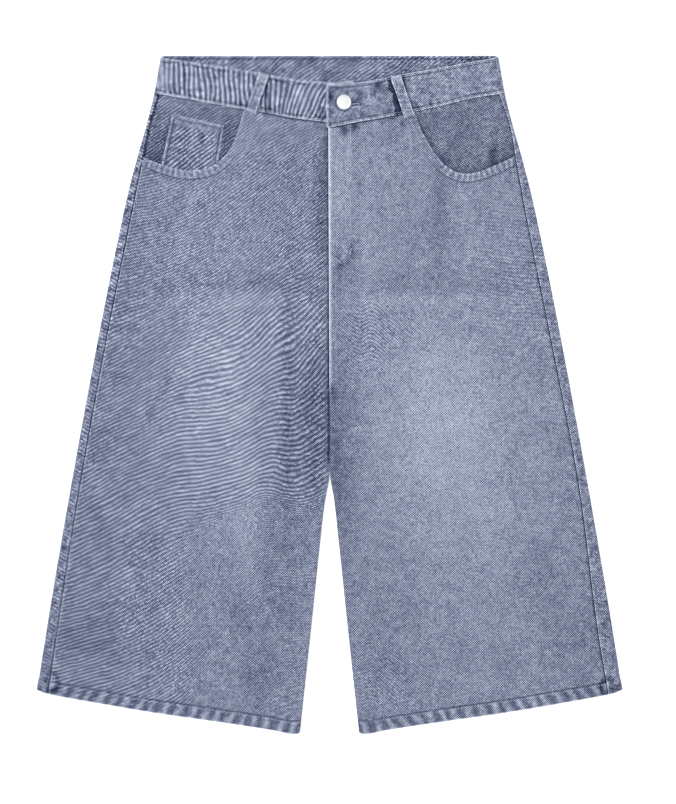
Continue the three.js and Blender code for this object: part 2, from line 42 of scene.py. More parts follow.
# The cut as it lies: half widths and edges in millimetres, wearer's right at -X
cloth = {"thickness": 1.2, "seamGap": 0.3, "step": 2.4}
sideFold = {
    "y": [-300, -256, -96, 64, 144, 204, 244, 266, 298, 340],
    "x": [293.2, 286.6, 259.6, 230.1, 214.1, 201.1, 190.6, 184.2, 176.2, 168.6],
}
sideStrip = {
    "y": [-300, -245, -85, 65, 190, 236, 266, 302],
    "right": [12, 11.5, 9.5, 9, 8.5, 6.5, 4, 5],
    "left": [14, 15, 9, 10, 9.5, 6.5, 3, 5.5],
}
innerLeg = {
    "y": [-340, -225, -145, -105, -88, -80, -70, -60, 340],
    "x": [29.8, 17.4, 9, 4.4, 1.3, 0.3, 0.15, 0.15, 0.15],
}
hemLine = {
    "x": [28, 33, 56, 112, 176, 232, 278, 287, 294],
    "y": [-337.6, -339.3, -335.7, -327.2, -318, -308.5, -300, -297.6, -294.2],
}
bandEdges = {
    "x": [0, 15, 35, 70, 110, 140, 176],
    "topRight": [311.8, 312.8, 315, 321.2, 328, 332.6, 337.4],
    "bottomRight": [272.6, 274, 276.3, 283, 289.6, 295.3, 301.6],
    "topLeft": [310.4, 310.6, 312.6, 319.6, 326.5, 332.2, 338.2],
    "bottomLeft": [266.8, 269.9, 273.6, 279.8, 288.4, 295.6, 301.6],
}
scoopEdge = {
    "x": [85, 90, 97, 106, 118, 134, 152, 168, 192],
    "right": [288, 268.6, 250, 236.8, 228, 224, 225, 229.8, 239.5],
    "left": [283, 268, 254.5, 240, 227.2, 220.7, 223.6, 230, 241.5],
}
heights = {
    "waist": 5.6, "leg": 4.6, "flatTop": 250, "flatBottom": 130, "highest": 5.6, "lowest": 2.9,
    "innerRoll": 9, "innerFront": 2.7, "innerBack": 0.9, "crotchY": 6,
    "underlap": 1.5, "underlapWidth": 34, "centreSeam": 0.5,
}
sides = {"right": -1, "left": 1}


def ease(low, high, value):
    t = np.clip((np.asarray(value, float) - low) / (high - low), 0, 1)
    return t * t * (3 - 2 * t)


def lerp(a, b, t):
    return a + (b - a) * t


def curveThrough(table, key, column):
    # smooth curve through a table's rows, read at any place or array of places
    k = np.array(table[key], float)
    v = np.array(table[column], float)
    slope = np.diff(v) / np.diff(k)
    tangent = np.concatenate([slope[:1], (slope[:-1] + slope[1:]) / 2, slope[-1:]])

    def read(at):
        place = np.clip(np.asarray(at, float), k[0], k[-1])
        i = np.clip(np.searchsorted(k, place) - 1, 0, len(k) - 2)
        span = k[i + 1] - k[i]
        t = (place - k[i]) / span
        t2, t3 = t * t, t * t * t
        return ((2 * t3 - 3 * t2 + 1) * v[i] + (t3 - 2 * t2 + t) * span * tangent[i]
                + (3 * t2 - 2 * t3) * v[i + 1] + (t3 - t2) * span * tangent[i + 1])

    return read


foldX = curveThrough(sideFold, "y", "x")
hemY = curveThrough(hemLine, "x", "y")
legX = curveThrough(innerLeg, "y", "x")
stripWidth = {side: curveThrough(sideStrip, "y", side) for side in sides}
scoopY = {side: curveThrough(scoopEdge, "x", side) for side in sides}
bandTop = {side: curveThrough(bandEdges, "x", "top" + side.capitalize()) for side in sides}
bandBottom = {side: curveThrough(bandEdges, "x", "bottom" + side.capitalize()) for side in sides}


def seamX(side, y):
    return foldX(y) - stripWidth[side](y)


def innerX(side, y):
    return legX(y) + sides[side] * 0.5 * ease(-140, -60, y)


# Soft folds of the laid front: two ends, width and depth (negative is a trough)
folds = {
    "right": [
        (36, 120, 46, -215, 11, -1.1), (62, 60, 84, -230, 15, 0.9), (96, -190, 60, -325, 11, -0.9),
        (130, -20, 168, -300, 18, 0.7), (205, -60, 232, -300, 14, -0.8), (24, 101, 150, 96, 6, -0.6),
        (118, 205, 140, 120, 13, 0.6),
    ],
    "left": [
        (108, 224, 112, 95, 11, -1.0), (40, 205, 36, 60, 10, 0.8), (60, 30, 72, -230, 14, -0.9),
        (112, 60, 128, -160, 24, 0.8), (190, -10, 214, -290, 15, -0.8), (150, -180, 160, -310, 13, 0.8),
        (36, 98, 180, 104, 6, -0.6),
    ],
}
# Smaller creases that only the cloth's surface shows
creases = {
    "right": [
        (30, 93, 165, 88, 3.5, 0.35), (8, 60, 60, 20, 7, -0.4), (8, 30, 40, -30, 6, 0.35),
        (70, 250, 60, 190, 8, 0.35), (100, 200, 96, 130, 7, -0.35), (22, 250, 26, 160, 6, -0.4),
        (240, -240, 200, -300, 7, 0.3), (20, -60, 34, -160, 7, 0.35), (110, 20, 118, -110, 12, 0.3),
    ],
    "left": [
        (40, 92, 200, 96, 3.5, 0.35), (8, 62, 52, 24, 7, -0.4), (8, 20, 46, -40, 7, 0.35),
        (24, 258, 30, 226, 5, -0.4), (70, 230, 78, 150, 9, 0.35), (150, 190, 160, 110, 10, -0.35),
        (30, -70, 44, -170, 8, 0.35), (230, -180, 246, -290, 8, 0.35), (96, 240, 90, 190, 7, -0.3),
    ],
}


surface = {"creases": 1.6, "ripple": 0.28, "crown": 0.7}


def foldRelief(rows, x, y):
    relief = np.zeros_like(np.asarray(x, float))
    for x0, y0, x1, y1, width, depth in rows:
        rx, ry = x1 - x0, y1 - y0
        length = math.hypot(rx, ry)
        along = ((x - x0) * rx + (y - y0) * ry) / length ** 2
        across = ((x - x0) * ry - (y - y0) * rx) / length
        relief += depth * ease(-0.12, 0.25, along) * (1 - ease(0.75, 1.12, along)) * np.exp(-((across / width) ** 2))
    return relief


def ripple(x, y, shortest, longest, count, seed):
    # gentle unevenness from a few seeded waves, about -1 to 1
    pick = np.random.RandomState(seed)
    total = np.zeros_like(np.asarray(x, float))
    for _ in range(count):
        angle = pick.uniform(0, 2 * math.pi)
        wave = pick.uniform(shortest, longest)
        total += np.sin(2 * math.pi * (x * math.cos(angle) + y * math.sin(angle)) / wave + pick.uniform(0, 6.3))
    return total / math.sqrt(count)


def sideHeight(y):
    return lerp(heights["leg"], heights["waist"], ease(heights["flatBottom"], heights["flatTop"], y))


def frontHeight(side, x, y, fine=True):
    fromInner = x - innerX(side, y)
    relief = foldRelief(folds[side], x, y)
    if fine:
        uneven = surface["ripple"] * ripple(x, y, 24, 70, 9, 5 + sides[side])
        relief = relief + surface["creases"] * foldRelief(creases[side], x, y) + uneven
    height = sideHeight(y) + relief * ease(0, 40, seamX(side, y) - x)
    if side == "right":
        atFly = ease(68, 138, y)
        drop = lerp(heights["centreSeam"], heights["underlap"], atFly)
        height = height - drop * (1 - ease(0, heights["underlapWidth"], fromInner))
    lift = surface["crown"] * ease(8, 40, np.minimum(fromInner, seamX(side, y) - x)) if fine else 0
    crown = heights["highest"] + lift
    height = np.clip(height, heights["lowest"], crown)
    near = 1 - np.clip(fromInner / heights["innerRoll"], 0, 1)
    roll = (1 - ease(heights["crotchY"] - 26, heights["crotchY"], y)) * (1 - np.sqrt(1 - near ** 2))
    return lerp(height, heights["innerFront"], roll)


def pucker(along, across, pitch, reach, depth, slant, seed):
    wander = ripple(along, across * 0, pitch * 2.5, pitch * 7, 5, seed)
    wave = np.sin(2 * math.pi * (along + slant * across) / pitch + 1.9 * wander)
    return depth * wave * (0.65 + 0.35 * np.sin(along / pitch * 1.7 + seed)) * np.exp(-across / reach)


def spread(stops, step):
    # the stops themselves, with even steps between them no longer than step
    out = [stops[0]]
    for a, b in zip(stops, stops[1:]):
        n = max(1, math.ceil(abs(b - a) / step - 1e-6))
        out += [lerp(a, b, (k + 1) / n) for k in range(n)]
    return np.array(out, float)


def signedVolume(points, quads):
    a, b, c, d = (points[quads[:, k]] for k in range(4))
    return (np.einsum("ij,ij->", a, np.cross(b, c)) + np.einsum("ij,ij->", a, np.cross(c, d))) / 6


def shell(name, outer, inner, notes, slit=None):
    # closed cloth wall from two grids of points in millimetres; notes are numbers kept on each point, and slit is
    # the first and last row and column of a cut through both faces
    rows, cols = outer.shape[:2]
    n = rows * cols
    points = np.concatenate([outer.reshape(-1, 3), inner.reshape(-1, 3)])
    grid = np.arange(n).reshape(rows, cols)
    a, b, c, d = grid[:-1, :-1], grid[:-1, 1:], grid[1:, 1:], grid[1:, :-1]
    top = np.stack([a, b, c, d], -1).reshape(-1, 4)
    bottom = np.stack([a, d, c, b], -1).reshape(-1, 4) + n
    ring = np.concatenate([grid[0, :], grid[1:, -1], grid[-1, -2::-1], grid[-2:0:-1, 0]])
    after = np.roll(ring, -1)
    rim = np.stack([after, ring, ring + n, after + n], -1)
    if slit:
        r, s, c, e = slit
        kept = np.ones((rows - 1, cols - 1), bool)
        kept[r:s, c:e] = False
        top, bottom = top[kept.reshape(-1)], bottom[kept.reshape(-1)]
        ring = np.concatenate([grid[r, c:e], grid[r:s, e], grid[s, e:c:-1], grid[s:r:-1, c]])
        after = np.roll(ring, -1)
        rim = np.concatenate([rim, np.stack([ring, after, after + n, ring + n], -1)])
    quads = np.concatenate([top, bottom, rim])
    if signedVolume(points, quads) < 0:
        quads = quads[:, ::-1]
    mesh = bpy.data.meshes.new(name)
    mesh.from_pydata((points * mm).tolist(), [], quads.tolist())
    for note, values in notes.items():
        layer = mesh.attributes.new(note, "FLOAT", "POINT")
        both = np.broadcast_to(values, (rows, cols)).reshape(-1)
        layer.data.foreach_set("value", np.concatenate([both, both]).astype(np.float32))
    mesh.polygons.foreach_set("use_smooth", np.ones(len(mesh.polygons), bool))
    mesh.update()
    piece = bpy.data.objects.new(name, mesh)
    bpy.context.scene.collection.objects.link(piece)
    piece.data.set_sharp_from_angle(angle=math.radians(50))
    return piece


def levelWall(sign, x, y, z, thickness, relief):
    low = np.stack([sign * x, y, z - thickness / 2], -1)
    high = np.stack([sign * x, y, z + thickness / 2 + relief], -1)
    return high, low


def arcAlong(x, y):
    return np.concatenate([[0], np.cumsum(np.hypot(np.diff(x), np.diff(y)))])


# Tone of the wash with painted shade, read in the photo's light: fades of the wash and painted shade in folds, beside
# the fly and at the crotch, as soft spots on the half at x, y with reach and amount
fadesAndShade = {
    "right": [
        (215, 0, 80, 330, -0.035), (112, 10, 46, 95, 0.075), (84, -120, 20, 80, 0.05),
        (150, -60, 70, 120, 0.02), (14, -30, 16, 70, -0.13), (42, -30, 7, 150, -0.085),
        (70, 112, 80, 10, -0.05), (90, 92, 70, 7, 0.04), (8, 190, 7, 70, -0.13), (92, -215, 14, 30, -0.07),
        (74, -275, 14, 30, -0.07), (238, -245, 26, 30, -0.07), (262, -120, 30, 200, -0.03),
        (40, 230, 30, 40, -0.03), (196, 200, 26, 60, -0.03), (60, -200, 12, 120, -0.05),
        (100, 60, 60, 40, 0.02), (37, -130, 12, 90, -0.035), (10, 14, 14, 26, -0.03),
        (155, 175, 40, 60, 0.022), (3, 250, 3, 16, -0.08),
    ],
    "left": [
        (6, -60, 9, 60, -0.11), (8, -150, 14, 200, -0.045), (3, 2, 3.5, 8, -0.2), (108, -20, 60, 100, 0.115),
        (150, -120, 60, 120, 0.04), (38, 130, 8, 80, 0.05), (108, 160, 10, 60, -0.06), (11, 210, 9, 50, 0.05),
        (20, 265, 6, 3.5, -0.16), (13, 266, 3, 3, -0.14), (90, 112, 90, 10, -0.045), (21, 150, 3, 6, -0.16),
        (22, 140, 3, 5, -0.20), (9, 136, 3, 6, -0.20), (12, 129, 4, 4, -0.20), (18, 133, 3, 4, -0.14),
        (10, 122, 3, 10, -0.10), (6, 112, 3, 14, -0.07), (88, 275, 4, 5, -0.20), (66, 276, 14, 3, -0.10),
        (64, 262, 6, 8, -0.06), (96, 262, 8, 16, -0.05), (112, 216, 6, 40, -0.06), (100, 93, 90, 7, 0.04),
        (210, -180, 20, 30, -0.06), (20, -60, 14, 80, -0.045), (250, -240, 30, 60, -0.04),
        (60, 210, 26, 50, 0.015), (210, -60, 40, 120, 0.01), (56, -250, 24, 60, -0.03),
        (10, 14, 14, 26, -0.03), (150, 185, 40, 60, 0.016), (14.8, 262, 4, 5, -0.2),
        (25.5, 268.5, 3.5, 4, -0.26), (73, 271, 3, 4, -0.16), (20, 240, 3, 22, 0.05),
    ],
}


# Lump where the side seam runs into the hem: x, y and reach, light in the middle with a dark ring of painted shade
# around it
seamEnd = {"x": 277.5, "y": {"right": -287, "left": -293}, "reach": (5.0, 7.0)}


def seamEndTone(side, x, y):
    away = np.hypot((x - seamEnd["x"]) / seamEnd["reach"][0], (y - seamEnd["y"][side]) / seamEnd["reach"][1])
    return 0.16 * np.exp(-((away / 0.7) ** 2)) - 0.26 * np.exp(-(((away - 1.25) / 0.36) ** 2))


# wash fades plus painted shade of folds, the fly and the crotch, for each point
def washAndShadeTone(side, x, y):
    tone = np.zeros_like(np.asarray(x, float))
    for cx, cy, rx, ry, amount in fadesAndShade[side]:
        tone += amount * np.exp(-((x - cx) / rx) ** 2 - ((y - cy) / ry) ** 2)
    return tone + 0.012 * ripple(x, y, 30, 90, 9, 31) + 0.012 * ripple(x, y, 10, 24, 9, 37)


# Ribs of the twill that show as wavy lines on the wearer's right leg. rise is the slope of a line towards the
# centre, in degrees, by distance x from the centre at each height y; spacing is from line to line at the still column
ribs = {
    "x": [5, 20, 32, 42, 52, 64, 76, 92, 106, 122, 140, 160, 185, 220, 260, 295],
    "rise": {
        -286: [4, 6, 10, 14, 26, 38, 34, 50, 56, 46, 38, 32, 26, 17, 15, 13],
        -246: [4, 2, -1, 0, 22, 32, 34, 40, 49, 45, 41, 35, 27, 20, 16, 13],
        -206: [6, 0, -8, -6, 8, 26, 34, 40, 50, 48, 36, 36, 27, 26, 14, 12],
        -166: [10, 5, -8, -12, -3, 18, 30, 34, 44, 44, 30, 30, 29, 29, 20, 16],
        -116: [20, 20, -6, -16, -22, 5, 36, 12, 16, 12, 2, 24, 26, 30, 26, 22],
        -96: [27, 25, 7, -5, -23, 2, 31, 14, 16, 10, 1, 22, 25, 29, 26, 22],
        -76: [32, 30, 15, -9, -22, 18, 32, 22, 18, 7, 0, 20, 23, 29, 26, 22],
        -26: [34, 36, 30, -8, 2, 26, 30, 29, 17, 4, 1, 27, 26, 27, 26, 22],
        0: [46, 40, 40, -8, 18, 30, 32, 26, 12, 6, 8, 29, 27, 27, 26, 22],
        24: [48, 47, 46, 4, 25, 38, 34, 24, 11, 9, 26, 30, 29, 28, 26, 22],
        64: [46, 52, 49, 18, 40, 48, 43, 29, 26, 27, 27, 28, 29, 26, 24, 20],
        104: [38, 37, 24, 22, 34, 39, 35, 32, 30, 27, 27, 27, 20, 16, 14, 12],
        144: [36, 38, 36, 36, 39, 41, 40, 34, 31, 27, 24, 21, 14, 10, 8, 8],
        204: [36, 39, 38, 40, 40, 38, 37, 36, 38, 37, 29, 21, 10, 8, 8, 8],
        264: [30, 28, 26, 26, 28, 33, 36, 38, 38, 36, 30, 24, 12, 8, 8, 8],
    },
    "still": 164,
    "spacing": {"y": [-340, -206, -140, -76, 0, 44, 104, 204, 264],
                "mm": [3.5, 3.9, 4.3, 4.3, 3.9, 3.6, 3.3, 3.1, 3.1]},
    "leftX": [0, 30, 42, 60, 90, 300], "leftRise": [0, -26, -22, -36, -56, -90], "leftSpacing": 3.95,
}
acrossStep, upStep = 2.0, 3.0
latticeX, latticeY = np.arange(0, 303, acrossStep), np.arange(-420, 421, upStep)


def softened(grid, axis, times):
    for _ in range(times):
        padded = np.pad(grid, [(1, 1) if k == axis else (0, 0) for k in (0, 1)], mode="edge")
        shifted = [padded.take(range(k, k + grid.shape[axis]), axis) for k in (0, 1, 2)]
        grid = (shifted[0] + 2 * shifted[1] + shifted[2]) / 4
    return grid


def ribLattice():
    # each line is followed from the still column both ways, so its number there is its number everywhere
    levels = sorted(ribs["rise"])
    across = np.array([np.interp(latticeX, ribs["x"], ribs["rise"][level]) for level in levels])
    rise = np.array([np.interp(latticeY, levels, column) for column in across.T]).T
    rise = softened(softened(np.tan(np.radians(rise)), 0, 4), 1, 1)
    spacing = np.interp(latticeY, ribs["spacing"]["y"], ribs["spacing"]["mm"])
    still = int(ribs["still"] / acrossStep)
    number = np.zeros(rise.shape)
    number[:, still] = np.cumsum(upStep / spacing)
    for way, stop in ((1, len(latticeX)), (-1, -1)):
        for j in range(still + way, stop, way):
            slope = (rise[:, j] + rise[:, j - way]) / 2
            number[:, j] = np.interp(latticeY + way * slope * acrossStep, latticeY, number[:, j - way])
    return number


ribNumber = ribLattice()
leftRise = curveThrough(ribs, "leftX", "leftRise")


def fromLattice(grid, x, y):
    i = np.clip((y - latticeY[0]) / upStep, 0, len(latticeY) - 1.001)
    j = np.clip(x / acrossStep, 0, len(latticeX) - 1.001)
    a, b = i.astype(int), j.astype(int)
    s, t = i - a, j - b
    return (grid[a, b] * (1 - s) * (1 - t) + grid[a + 1, b] * s * (1 - t)
            + grid[a, b + 1] * (1 - s) * t + grid[a + 1, b + 1] * s * t)


def ribNotes(side, x, y):
    waver = 0.16 * ripple(x, y, 30, 90, 9, 11) + 0.10 * ripple(x, y, 9, 22, 9, 12)
    if side == "right":
        number = fromLattice(ribNumber, np.abs(x), y)
        low = 1 - ease(-150, -104, y)
        strength = 1 - 0.72 * low * (1 - ease(136, 158, x - 0.05 * y - 8))
        strength = strength * lerp(1, 0.78, ease(70, 120, y)) * lerp(0.85, 1, ease(175, 130, x))
        strength = strength * lerp(0.4, 1, ease(1, 9, x))
    else:
        number = (y - leftRise(x)) / ribs["leftSpacing"]
        strength = 0.62 * np.exp(-((x - 40) / 34) ** 2 - ((y - 62) / 36) ** 2)
        strength = strength + 0.4 * np.exp(-((x - 55) / 30) ** 2 - ((y + 290) / 40) ** 2)
        strength = strength + 0.3 * np.exp(-((x - 190) / 40) ** 2 - ((y - 120) / 60) ** 2) + 0.08
    return {"ribPhase": number + waver, "ribStrength": strength}


def edgeNotes(hem, hemAlong, seam, seamAlong, wear=None, rope=None):
    return {"hemAcross": hem, "hemAlong": hemAlong, "seamAcross": seam, "seamAlong": seamAlong,
            "wearAcross": hem if wear is None else wear, "ropeStrength": hem * 0 + 1 if rope is None else rope}


# Front panels
front = {"hemWidth": 12, "hemRelief": 0.7, "scoopWidth": 8, "scoopRelief": 0.5, "scoopStart": 85,
         "flyWidth": 21, "flyBottom": 128, "flyRelief": 0.4, "cornerSpan": 22,
         "waveGain": 1.5, "waveLimit": 0.5, "edgeRoom": 0.25, "bodyRoom": 0.65,
         "centreWearAndShadow": {"left": 0.26, "right": -0.12}}
# pitch, reach, depth and slant of the puckers along each sewn edge
puckers = {"mouth": (11, 9, 0.30, 0.6), "waist": (13, 14, 0.34, 0.1), "hem": (12, 7, 0.26, 0.8),
           "side": (14, 7, 0.22, 0.5), "fly": (10, 5, 0.18, 0.4)}


def frontTopY(side, x):
    waist = bandBottom[side](x) - cloth["seamGap"]
    return np.where(x < front["scoopStart"], waist, np.minimum(scoopY[side](x), waist))


def frontUpperEdge(side):
    # the waist seam and pocket mouth, with the inward direction and arc length at each point
    endX = float(seamX(side, scoopY[side](184)) - cloth["seamGap"])
    start = front["scoopStart"]
    byFly = spread([0, 0.5, 1.1, 1.8, 3, 20, 22, 30], 1.4)
    x = np.concatenate([byFly, spread([30, start, 90, 97, 106, endX], cloth["step"])[1:]])
    x[0] = innerX(side, frontTopY(side, 0.0))
    y = frontTopY(side, x)
    corner = int(np.argmin(np.abs(x - start)))
    arc = arcAlong(x, y)
    dx, dy = np.gradient(x, arc), np.gradient(y, arc)
    for k, span in ((corner, slice(corner, corner + 2)), (corner - 1, slice(corner - 2, corner))):
        dx[k], dy[k] = np.diff(x[span])[0], np.diff(y[span])[0]
    length = np.hypot(dx, dy)
    tx, ty = dx / length, dy / length
    nx, ny = ty.copy(), -tx.copy()
    before, after = np.array([tx[corner - 1], ty[corner - 1]]), np.array([tx[corner], ty[corner]])
    interior = math.pi - math.acos(float(np.clip(before @ after, -1, 1)))
    mitre = 1 / math.tan(interior / 2)
    near = np.clip(1 - np.abs(arc - arc[corner]) / front["cornerSpan"], 0, 1)
    away = np.where(arc < arc[corner], -1.0, 1.0)
    ox, oy = nx + tx * away * mitre * near, ny + ty * away * mitre * near
    ox[0], oy[0] = 0.0, -1.0
    lastY = y[-1] - front["scoopWidth"] - 1
    ox[-1] = (float(seamX(side, lastY)) - cloth["seamGap"] - x[-1]) / (front["scoopWidth"] + 1)
    oy[-1] = -1.0
    return x, y, ox, oy, arc, corner


def patch(upper, lower, inner, outer, u, v):
    # surface between four edges: arrays of points along upper and lower (n, 2) and inner and outer (m, 2)
    u, v = u[None, :, None], v[:, None, None]
    across = inner[:, None] * (1 - u) + outer[:, None] * u
    down = upper[None] * (1 - v) + lower[None] * v
    corners = (upper[0] * (1 - u) + upper[-1] * u) * (1 - v) + (lower[0] * (1 - u) + lower[-1] * u) * v
    return across + down - corners


def frontGrid(side):
    gap = cloth["seamGap"]
    x, y, ox, oy, arc, corner = frontUpperEdge(side)
    u = x / x[-1]
    u[0] = 0
    reach = front["scoopWidth"] + 1
    upper = np.stack([x + ox * reach, y + oy * reach], -1)

    def hemPoints(rise):
        innerY = float(hemY(innerX(side, -338))) + rise
        outerY = float(hemY(seamX(side, -298))) + rise
        hx = lerp(float(innerX(side, innerY)), float(seamX(side, outerY)) - gap, u)
        return np.stack([hx, hemY(hx) + rise], -1)

    lower = hemPoints(front["hemWidth"] + 1)
    v = np.concatenate([spread([0, 0.27], 1.8 / 590), spread([0.27, 1], 2.6 / 590)[1:]])
    innerSide = lerp(upper[0, 1], lower[0, 1], v)
    outerSide = lerp(upper[-1, 1], lower[-1, 1], v)
    innerEdge = np.stack([innerX(side, innerSide), innerSide], -1)
    outerEdge = np.stack([seamX(side, outerSide) - gap, outerSide], -1)
    body = patch(upper, lower, innerEdge, outerEdge, u, v)
    topRows = [0, 0.5, 1.6, 3.4, 5.6, 7.4, front["scoopWidth"], front["scoopWidth"] + 0.4]
    top = np.stack([np.stack([x + ox * d, y + oy * d], -1) for d in topRows])
    hemRises = [front["hemWidth"] + 0.4, front["hemWidth"], 10.8, 9.6, 7, 4.5, 2.2, 0.8, 0]
    hem = np.stack([hemPoints(r) for r in hemRises])
    grid = np.concatenate([top, body, hem])
    lengths = np.hypot(*(lower - upper).T)
    whole = reach + lengths + front["hemWidth"] + 1
    fromTop = np.concatenate([np.repeat(np.array(topRows)[:, None], len(x), 1), reach + v[:, None] * lengths,
                              whole - np.repeat(np.array(hemRises)[:, None], len(x), 1)])
    fromHem = whole - fromTop
    return grid[..., 0], grid[..., 1], fromTop, fromHem, arc, corner


def buildFront(side):
    x, y, fromTop, fromHem, arc, corner = frontGrid(side)
    scoop = (np.arange(x.shape[1]) >= corner)[None, :]
    hemArc = arcAlong(x[-1], y[-1])[None, :]
    fromInner = x - innerX(side, y)
    fromSeam = seamX(side, y) - x
    seed = 40 + sides[side]
    inScoop = 1 - ease(front["scoopWidth"], front["scoopWidth"] + 0.4, fromTop)
    relief = np.where(scoop, front["scoopRelief"] * inScoop, 0)
    relief = relief + front["hemRelief"] * (1 - ease(front["hemWidth"], front["hemWidth"] + 0.4, fromHem))
    flyInside = 0
    if side == "left":
        bend = np.hypot(np.maximum(fromInner, 0), np.minimum(y - (front["flyBottom"] + 34), 0) * 0.62)
        flyInside = (1 - ease(front["flyWidth"] - 0.5, front["flyWidth"] + 1.5, bend)) * ease(120, 128, y)
        relief = relief + front["flyRelief"] * flyInside
    alongTop = np.broadcast_to(arc[None, :], x.shape)
    alongHem = np.broadcast_to(hemArc, x.shape)
    wave = np.where(scoop, pucker(alongTop, fromTop, *puckers["mouth"], seed),
                    pucker(alongTop, fromTop, *puckers["waist"], seed))
    wave = wave + pucker(alongHem, np.maximum(fromHem - 9, 0), *puckers["hem"], seed + 3)
    wave = wave + pucker(y, np.maximum(fromSeam, 0), *puckers["side"], seed + 5)
    flyEdge = front["flyWidth"] if side == "left" else 0
    wave = wave + pucker(y, np.abs(fromInner - flyEdge), *puckers["fly"], seed + 7) * ease(20, 60, y)
    free = ease(6, 34, np.minimum(fromTop, fromHem))
    ceiling = heights["highest"] + front["edgeRoom"] + front["bodyRoom"] * free
    z = np.minimum(frontHeight(side, x, y) + np.minimum(wave * front["waveGain"], front["waveLimit"]), ceiling)
    outer, inner = levelWall(sides[side], x, y, z, cloth["thickness"], relief)
    inner[..., 2] = np.minimum(frontHeight(side, x, y, False), heights["highest"]) - cloth["thickness"] / 2 + 0.02
    atScoop = np.where(scoop, fromTop, 40)
    mouthHem = ease(96, 118, x)
    hemAcross = np.minimum(np.minimum(atScoop + 4, np.maximum(fromHem, 0)), 40)
    hemAlong = np.where(fromHem < atScoop + 4, alongHem, alongTop * 2.3)
    wear = np.minimum(atScoop, np.maximum(fromHem, 0))
    if side == "left":
        wear = np.minimum(wear, np.where(y > -10, np.maximum(fromInner, 0), 40))
    plain = np.maximum(fromSeam - cloth["seamGap"], 0)
    if side == "right":
        wear = np.minimum(wear, np.where(scoop & (fromTop < 3), 40, plain))
        # along the centre, below the fly's edge, the dark seam line is widened into painted shadow cast by the fly
        plain = np.where(y > -70, np.minimum(np.maximum(fromInner, 0) * 0.45, 40), 40)
    plain = np.minimum(plain, np.where(scoop, 40, fromTop))
    notes = edgeNotes(hemAcross, hemAlong, np.minimum(plain, 40), np.where(plain == fromTop, alongTop, y),
                      np.minimum(wear, 40), np.where(fromHem < 40, 1.15, mouthHem * 0.9))
    notes.update(ribNotes(side, x, y))
    inMouth = np.where(scoop, lerp(1 - 0.65 * mouthHem, 1, ease(5, 11, fromTop)), 1)
    notes["ribStrength"] = notes["ribStrength"] * lerp(0.5, 1, ease(5, 14, fromHem)) * inMouth
    tone = washAndShadeTone(side, x, y) - 0.03 * ease(13, 11, fromHem) + 0.02 * flyInside + seamEndTone(side, x, y)
    # worn light fly edge on the left half; painted shadow of the fly's edge along the right half's centre
    centreLine = np.exp(-(np.maximum(fromInner - 0.5, 0) / 0.9) ** 2) * ease(2, 14, y)
    notes["tone"] = tone + front["centreWearAndShadow"][side] * centreLine
    return shell("front" + side.capitalize() + "Cloth", outer, inner, notes)


# Back panels, round the side fold and over to the side seam
back = {"top": 301, "hemInside": 0.3, "stripRelief": 0.35, "length": 640, "hem": 12, "fromFold": 620}


